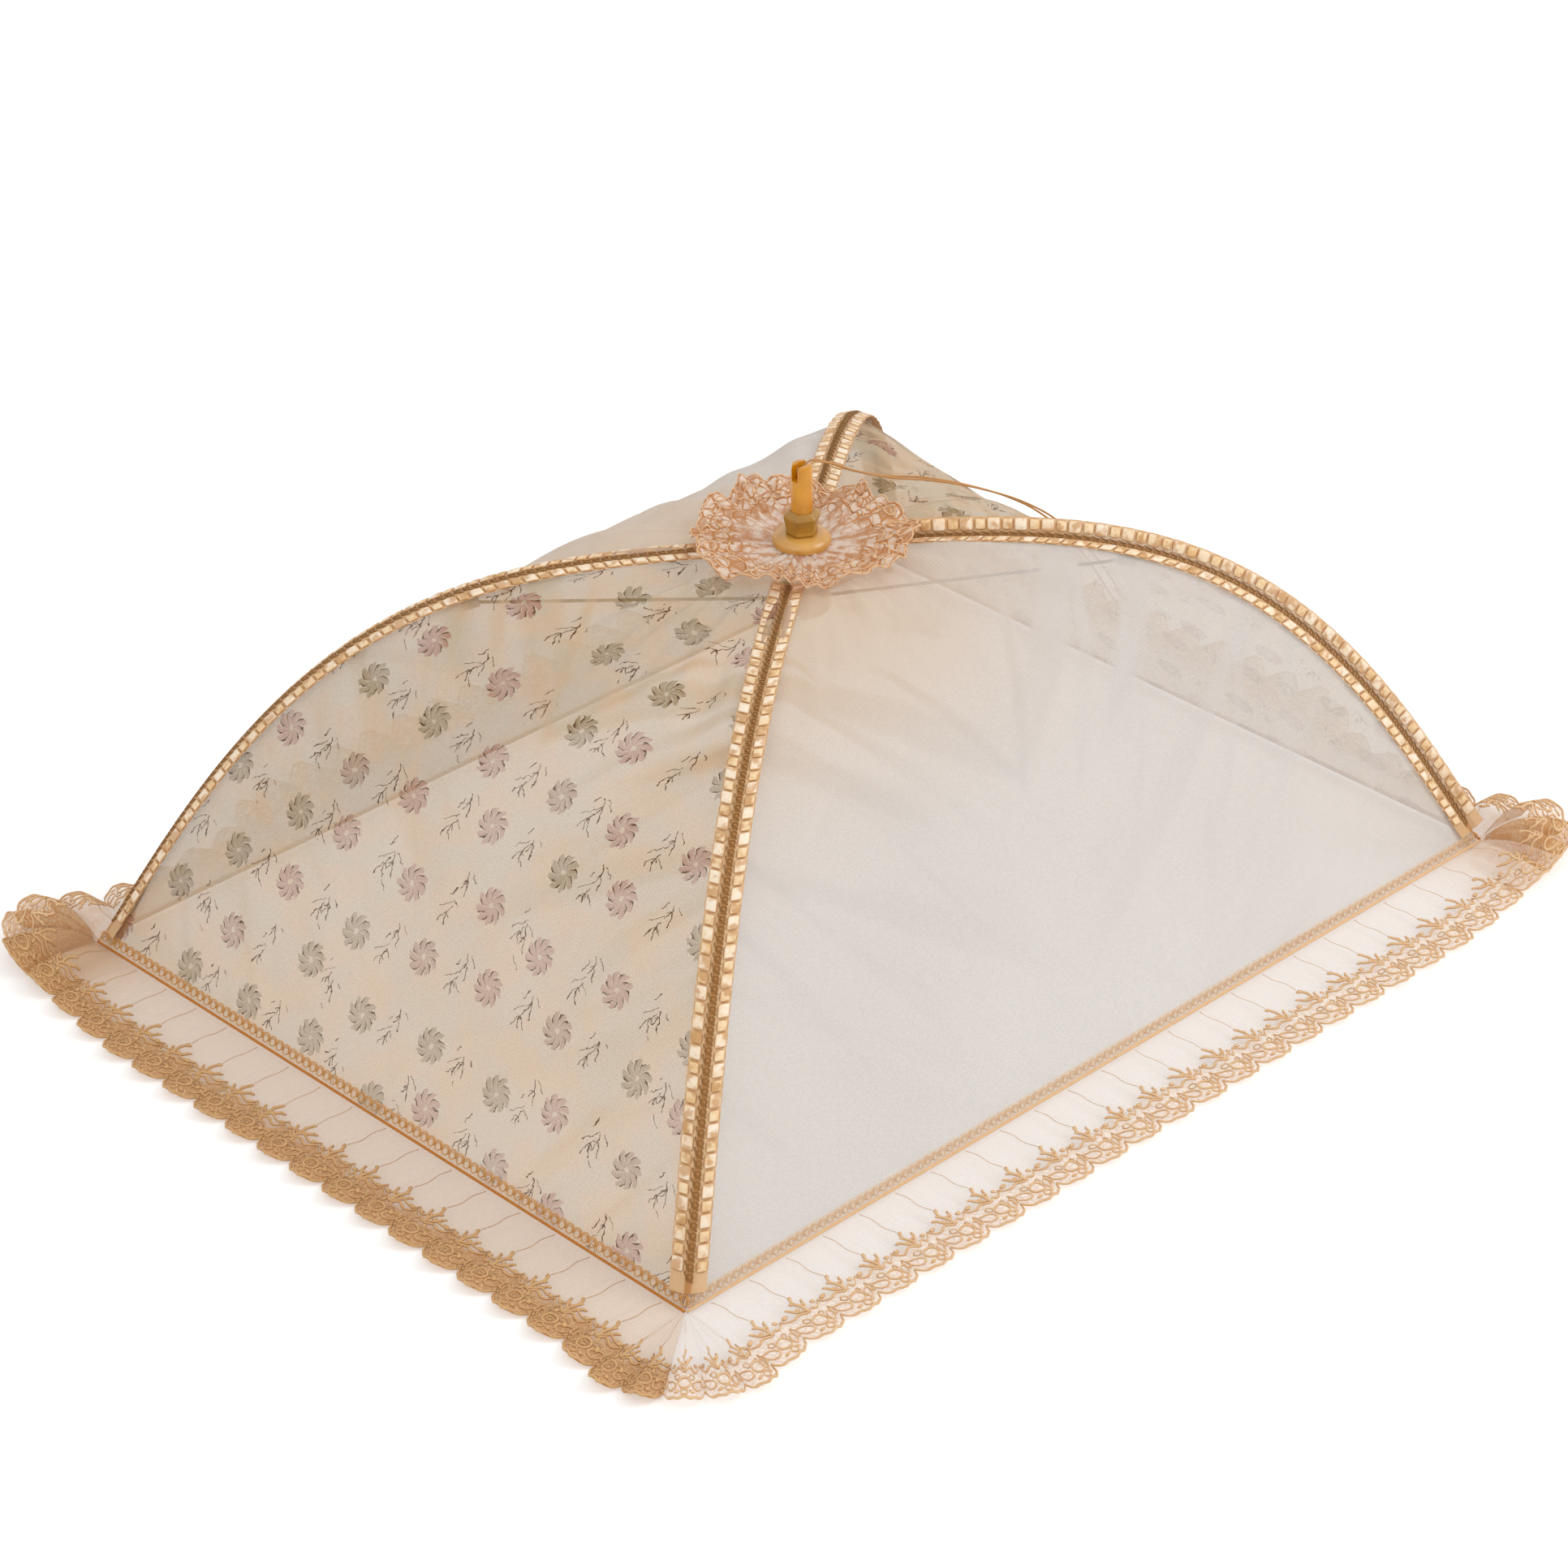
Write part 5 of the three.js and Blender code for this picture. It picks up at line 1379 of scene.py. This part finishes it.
class FOODCOVER_OT_tapes(bpy.types.Operator):
    """Makes the lace tape along each rib: its ground, its dark chain and its satin tabs"""

    bl_idname = "food_cover.tapes"
    bl_label = "Rib tapes"

    def execute(self, context):
        lace = context.scene.food_cover_lace
        pitch = lace.tab_pitch
        chain = chain_motif("chain_motif", lace.chain_pitch)
        long_tab = tab_motif("long_tab_motif", pitch * 0.52, 9.6 * MM)
        short_tab = tab_motif("short_tab_motif", pitch * 0.41, 8.4 * MM)
        for corner in CORNERS:
            ground = tape_grid(
                f"tape_ground_{corner}", corner, 0.0, TAPE_HALF, "woven_nylon_lace_ground")[0]
            guide, length = tape_grid("tape_guide", corner, 4 * MM, TAPE_HALF + 1.0 * MM)
            pieces = [lay(
                f"tape_chain_{corner}", chain, guide, int(length / lace.chain_pitch) - 1,
                (0.0, 1.0 * MM), (0.0, lace.chain_pitch), 0.5 * MM, "chain_viscose_yarn")]
            count = int(length / pitch - 0.8)
            for tone, tab, start in (("cream", long_tab, 0.3), ("amber", short_tab, 0.81)):
                for kind, across, later in (("plain", TAB_ACROSS, 0.0), ("printed", -TAB_ACROSS, 0.43)):
                    first = (across, (start + later) % 1.0 * pitch + 3 * MM)
                    pieces.append(lay(
                        f"tape_tabs_{tone}_{kind}_{corner}", tab, guide, count, first, (0.0, pitch),
                        0.35 * MM, f"{tone}_rayon_satin_stitch"))
            discard(guide)
            ride_with(ground, f"rib_{corner}", f"rib_tape_{corner}")
            for piece in pieces:
                ride_with(piece, f"rib_{corner}")
        discard(chain, long_tab, short_tab)
        return {"FINISHED"}


class FOODCOVER_OT_rosette(bpy.types.Operator):
    """Makes the gathered round of net under the washer and the lace on its edge"""

    bl_idname = "food_cover.rosette"
    bl_label = "Crown rosette"

    def execute(self, context):
        net = rosette_grid("rosette_net", 0.0, 289, 1.0, "rosette_nylon_tulle")
        with editing(net.data) as work:
            bmesh.ops.remove_doubles(work, verts=work.verts, dist=0.02 * MM)
        guide = rosette_grid("rosette_guide", 0.3, 320, 1.06)
        motif = rosette_motif("rosette_border_motif", context.scene.food_cover_lace.thread_radius)
        step = 2 * math.pi * ROSETTE_RADIUS / ROSETTE_REPEATS
        lace = lay(
            "rosette_lace", motif, guide, ROSETTE_REPEATS, (step / 2, 0.0), (step, 0.0), 0.5 * MM,
            "rosette_viscose_yarn")
        discard(guide, motif)
        ride_with(net, "crown", "rosette")
        ride_with(lace, "crown")
        return {"FINISHED"}


class FOODCOVER_OT_finial(bpy.types.Operator):
    """Makes the notched tube, the hexagon collar and the domed washer on the crown"""

    bl_idname = "food_cover.finial"
    bl_label = "Finial"

    def execute(self, context):
        self.tube()
        self.collar()
        self.washer()
        return {"FINISHED"}

    def soften(self, piece, width, node, slot):
        """Rounds a fitting's edges, shades it smooth across them, and joins it to the crown."""
        bevel = piece.modifiers.new("Soft edges", "BEVEL")
        bevel.width, bevel.segments, bevel.limit_method = width, 3, "ANGLE"
        bevel.angle_limit = BEVEL_FROM
        mesh = settle(piece).data
        mesh.shade_smooth()
        with editing(mesh) as work:
            for edge in work.edges:
                edge.smooth = len(edge.link_faces) == 2 and edge.calc_face_angle(0.0) < SHARP_FROM
        ride_with(piece, "crown", node)

    def tube(self):
        low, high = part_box("guide_tube")
        flange, flange_top = widest_radius("guide_tube"), low.z + TUBE_FLANGE
        profile = [
            (TUBE_BORE, low.z), (flange, low.z), (flange, flange_top), (TUBE_RADIUS, flange_top),
            (TUBE_RADIUS, high.z - 3.0 * MM), (TUBE_RADIUS - 0.9 * MM, high.z), (TUBE_BORE, high.z),
        ]
        tube = turned_piece("finial_tube", profile, 64, "amber_moulded_abs")
        cutter = new_object("notch_cutter", bpy.data.meshes.new("notch_cutter"))
        over = 10 * MM
        middle = Matrix.Translation((0.0, 0.0, high.z + (over - NOTCH_DEPTH) / 2))
        size = Matrix.Diagonal((40 * MM, 2 * NOTCH_HALF, NOTCH_DEPTH + over, 1.0))
        with editing(cutter.data) as work:
            bmesh.ops.create_cube(work, size=1.0, matrix=middle @ size)
        cut = tube.modifiers.new("Notch", "BOOLEAN")
        cut.operation, cut.solver, cut.object = "DIFFERENCE", "EXACT", cutter
        settle(tube)
        discard(cutter)
        self.soften(tube, 0.35 * MM, "guide_tube", "amber_plastic")

    def collar(self):
        low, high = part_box("hexagon_collar")
        height = high.z - low.z
        outline = [(radius * MM, low.z + share * height) for radius, share in COLLAR_OUTLINE]
        profile = [(FITTING_BORE, low.z), *outline, (FITTING_BORE, high.z)]
        collar = turned_piece("finial_collar", profile, 6, "olive_gold_moulded_abs")
        self.soften(collar, 0.7 * MM, "hexagon_collar", "collar_plastic")

    def washer(self):
        low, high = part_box("domed_washer")
        radius = widest_radius("domed_washer")
        rise = high.z - low.z - WASHER_RIM
        dome = [(WASHER_NECK + (radius - WASHER_NECK) * math.cos(angle),
                 low.z + WASHER_RIM + rise * math.sin(angle))
                for angle in np.linspace(0.0, math.pi / 2, 14)]
        profile = [(FITTING_BORE, low.z), (radius - 1.2 * MM, low.z),
                   (radius - 0.3 * MM, low.z + 0.7 * MM), *dome, (FITTING_BORE, high.z)]
        washer = turned_piece("finial_washer", profile, 72, "tan_moulded_abs")
        self.soften(washer, 0.2 * MM, "domed_washer", "tan_plastic")


def wire_eye(work, centre, radius, run, beside):
    """A closed eye of thin wire, upright along the run of its wire, about a pin that lies beside."""
    turn = np.linspace(0.0, 2 * np.pi, 20, endpoint=False)[:, None]
    path = centre + radius * (np.cos(turn) * run + np.sin(turn) * UP)
    work.cord(path, EYE_WIRE, 8, closed=True, up=beside)


class FOODCOVER_OT_ribs(bpy.types.Operator):
    """Makes the sprung rib wires with their hinge eyes, and dresses the feet, clips and pins"""

    bl_idname = "food_cover.ribs"
    bl_label = "Ribs"

    def execute(self, context):
        falls = 1.0 - (1.0 - np.linspace(0.0, 1.0, 70)) ** 1.3
        reaches = np.concatenate([
            np.linspace(HINGE_RADIUS + EYE_RADIUS * 0.8, BEND_END, 12)[:-1],
            BEND_END + (RIB_REACH - BEND_END) * falls,
        ])
        distance, height = self.wire_line(reaches)
        for corner in CORNERS:
            outward, beside = rib_directions(corner)
            work = Workpiece()
            path = distance[:, None] * outward + height[:, None] * UP
            work.cord(path, WIRE_RADIUS, 12, up=beside)
            hinge = HINGE_RADIUS * outward + HINGE_HEIGHT * UP
            wire_eye(work, hinge, EYE_RADIUS - EYE_WIRE, outward, beside)
            piece = work.piece(f"spring_rib_{corner}", "black_coated_spring_steel")
            ride_with(piece, f"rib_{corner}", f"rib_wire_{corner}")
            dress_node(f"rib_foot_{corner}", "tan_moulded_abs")
            for name in ("rib_clip", "stretcher_pin", "hinge_pin"):
                dress_node(f"{name}_{corner}", "zinc_plated_steel")
        return {"FINISHED"}

    def wire_line(self, reach):
        """Distance from the axis and height of the wire's middle, as the CAD source lays it."""
        slope = rib_slope(reach)
        length = np.hypot(slope, 1.0)
        tip = TIP_DEPTH * ease((reach - RIB_REACH + TIP_EASE) / TIP_EASE)
        depth = WIRE_DEPTH * np.hypot(slope / SHORT_SHARE, 1.0) / length + tip
        dip = HINGE_DROP * (1.0 - ease((reach - HINGE_RADIUS) / (BEND_END - HINGE_RADIUS)))
        return reach + depth * slope / length, rib_height(reach) - depth / length - dip


class FOODCOVER_OT_stretchers(bpy.types.Operator):
    """Makes the stretcher wires between the ribs and the runner"""

    bl_idname = "food_cover.stretchers"
    bl_label = "Stretchers"

    def execute(self, context):
        for corner in CORNERS:
            outward, beside = rib_directions(corner)
            inner, outer = [
                reach * outward + height * UP for reach, height in (STRETCHER_INNER, STRETCHER_OUTER)]
            run = unit(inner - outer)
            start = outer + run * STRETCHER_START
            work = Workpiece()
            shares = np.linspace(0.0, 1.0, 24)[:, None]
            work.cord(start + shares * (inner - start), STRETCHER_RADIUS, 12, up=beside)
            wire_eye(work, outer, STRETCHER_EYE, run, beside)
            pin = beside * CROSS_PIN_HALF
            work.cord([inner - pin, inner + pin], CROSS_PIN_RADIUS, 12)
            piece = work.piece(f"stretcher_wire_{corner}", "black_coated_spring_steel")
            ride_with(piece, f"stretcher_{corner}", f"stretcher_{corner}")
        return {"FINISHED"}


class FOODCOVER_OT_runner(bpy.types.Operator):
    """Makes the two cord strands and the knot inside, and dresses the hub and the runner"""

    bl_idname = "food_cover.runner"
    bl_label = "Hub, runner and lift cord"

    def execute(self, context):
        dress_node("crown_hub", "cream_moulded_abs")
        dress_node("runner", "cream_moulded_abs")
        low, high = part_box("lift_cord")
        work = Workpiece()
        for side in (-1, 1):
            height = np.linspace(low.z + 3 * MM, high.z, 40)
            path = np.column_stack([np.zeros(40), np.full(40, STRAND_OFFSET * side), height])
            work.cord(path, CORD_RADIUS, 10, up=(0.0, 1.0, 0.0))
        angle = np.linspace(0.0, 2 * np.pi, 24, endpoint=False)
        for radius, rise, turn in KNOT_TURNS:
            wobble = 0.4 * MM * np.sin(2 * angle + turn)
            across = radius * MM * np.column_stack([np.cos(angle), np.sin(angle)])
            work.cord(np.column_stack([across, low.z + rise + wobble]), 1.0 * MM, 8, closed=True)
        strands = work.piece("lift_strands", "draw_cord_viscose_yarn")
        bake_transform(strands)
        dress_as("lift_cord")
        return {"FINISHED"}


class FOODCOVER_PT_panel(bpy.types.Panel):
    """Lists the cover's pieces"""

    bl_idname = "FOODCOVER_PT_panel"
    bl_label = "Food cover"
    bl_space_type = "VIEW_3D"
    bl_region_type = "UI"
    bl_category = "Food cover"

    def draw(self, context):
        for operator in OPERATORS:
            self.layout.operator(operator.bl_idname)


OPERATORS = (
    FOODCOVER_OT_stage,
    FOODCOVER_OT_pull_cord,
    FOODCOVER_OT_veils,
    FOODCOVER_OT_hems,
    FOODCOVER_OT_flounces,
    FOODCOVER_OT_tapes,
    FOODCOVER_OT_rosette,
    FOODCOVER_OT_finial,
    FOODCOVER_OT_ribs,
    FOODCOVER_OT_stretchers,
    FOODCOVER_OT_runner,
)
SETTINGS = {
    "food_cover_cloth": CoverClothSettings,
    "food_cover_lace": CoverLaceSettings,
    "food_cover_stage": CoverStageSettings,
}


def register():
    for group in (*SETTINGS.values(), *OPERATORS, FOODCOVER_PT_panel):
        bpy.utils.register_class(group)
    for name, group in SETTINGS.items():
        setattr(bpy.types.Scene, name, bpy.props.PointerProperty(type=group))


def unregister():
    for name in SETTINGS:
        delattr(bpy.types.Scene, name)
    for group in (FOODCOVER_PT_panel, *reversed(OPERATORS), *SETTINGS.values()):
        bpy.utils.unregister_class(group)


def main():
    register()
    for operator in OPERATORS:
        family, name = operator.bl_idname.split(".")
        getattr(getattr(bpy.ops, family), name)()


if __name__ == "__main__":
    main()
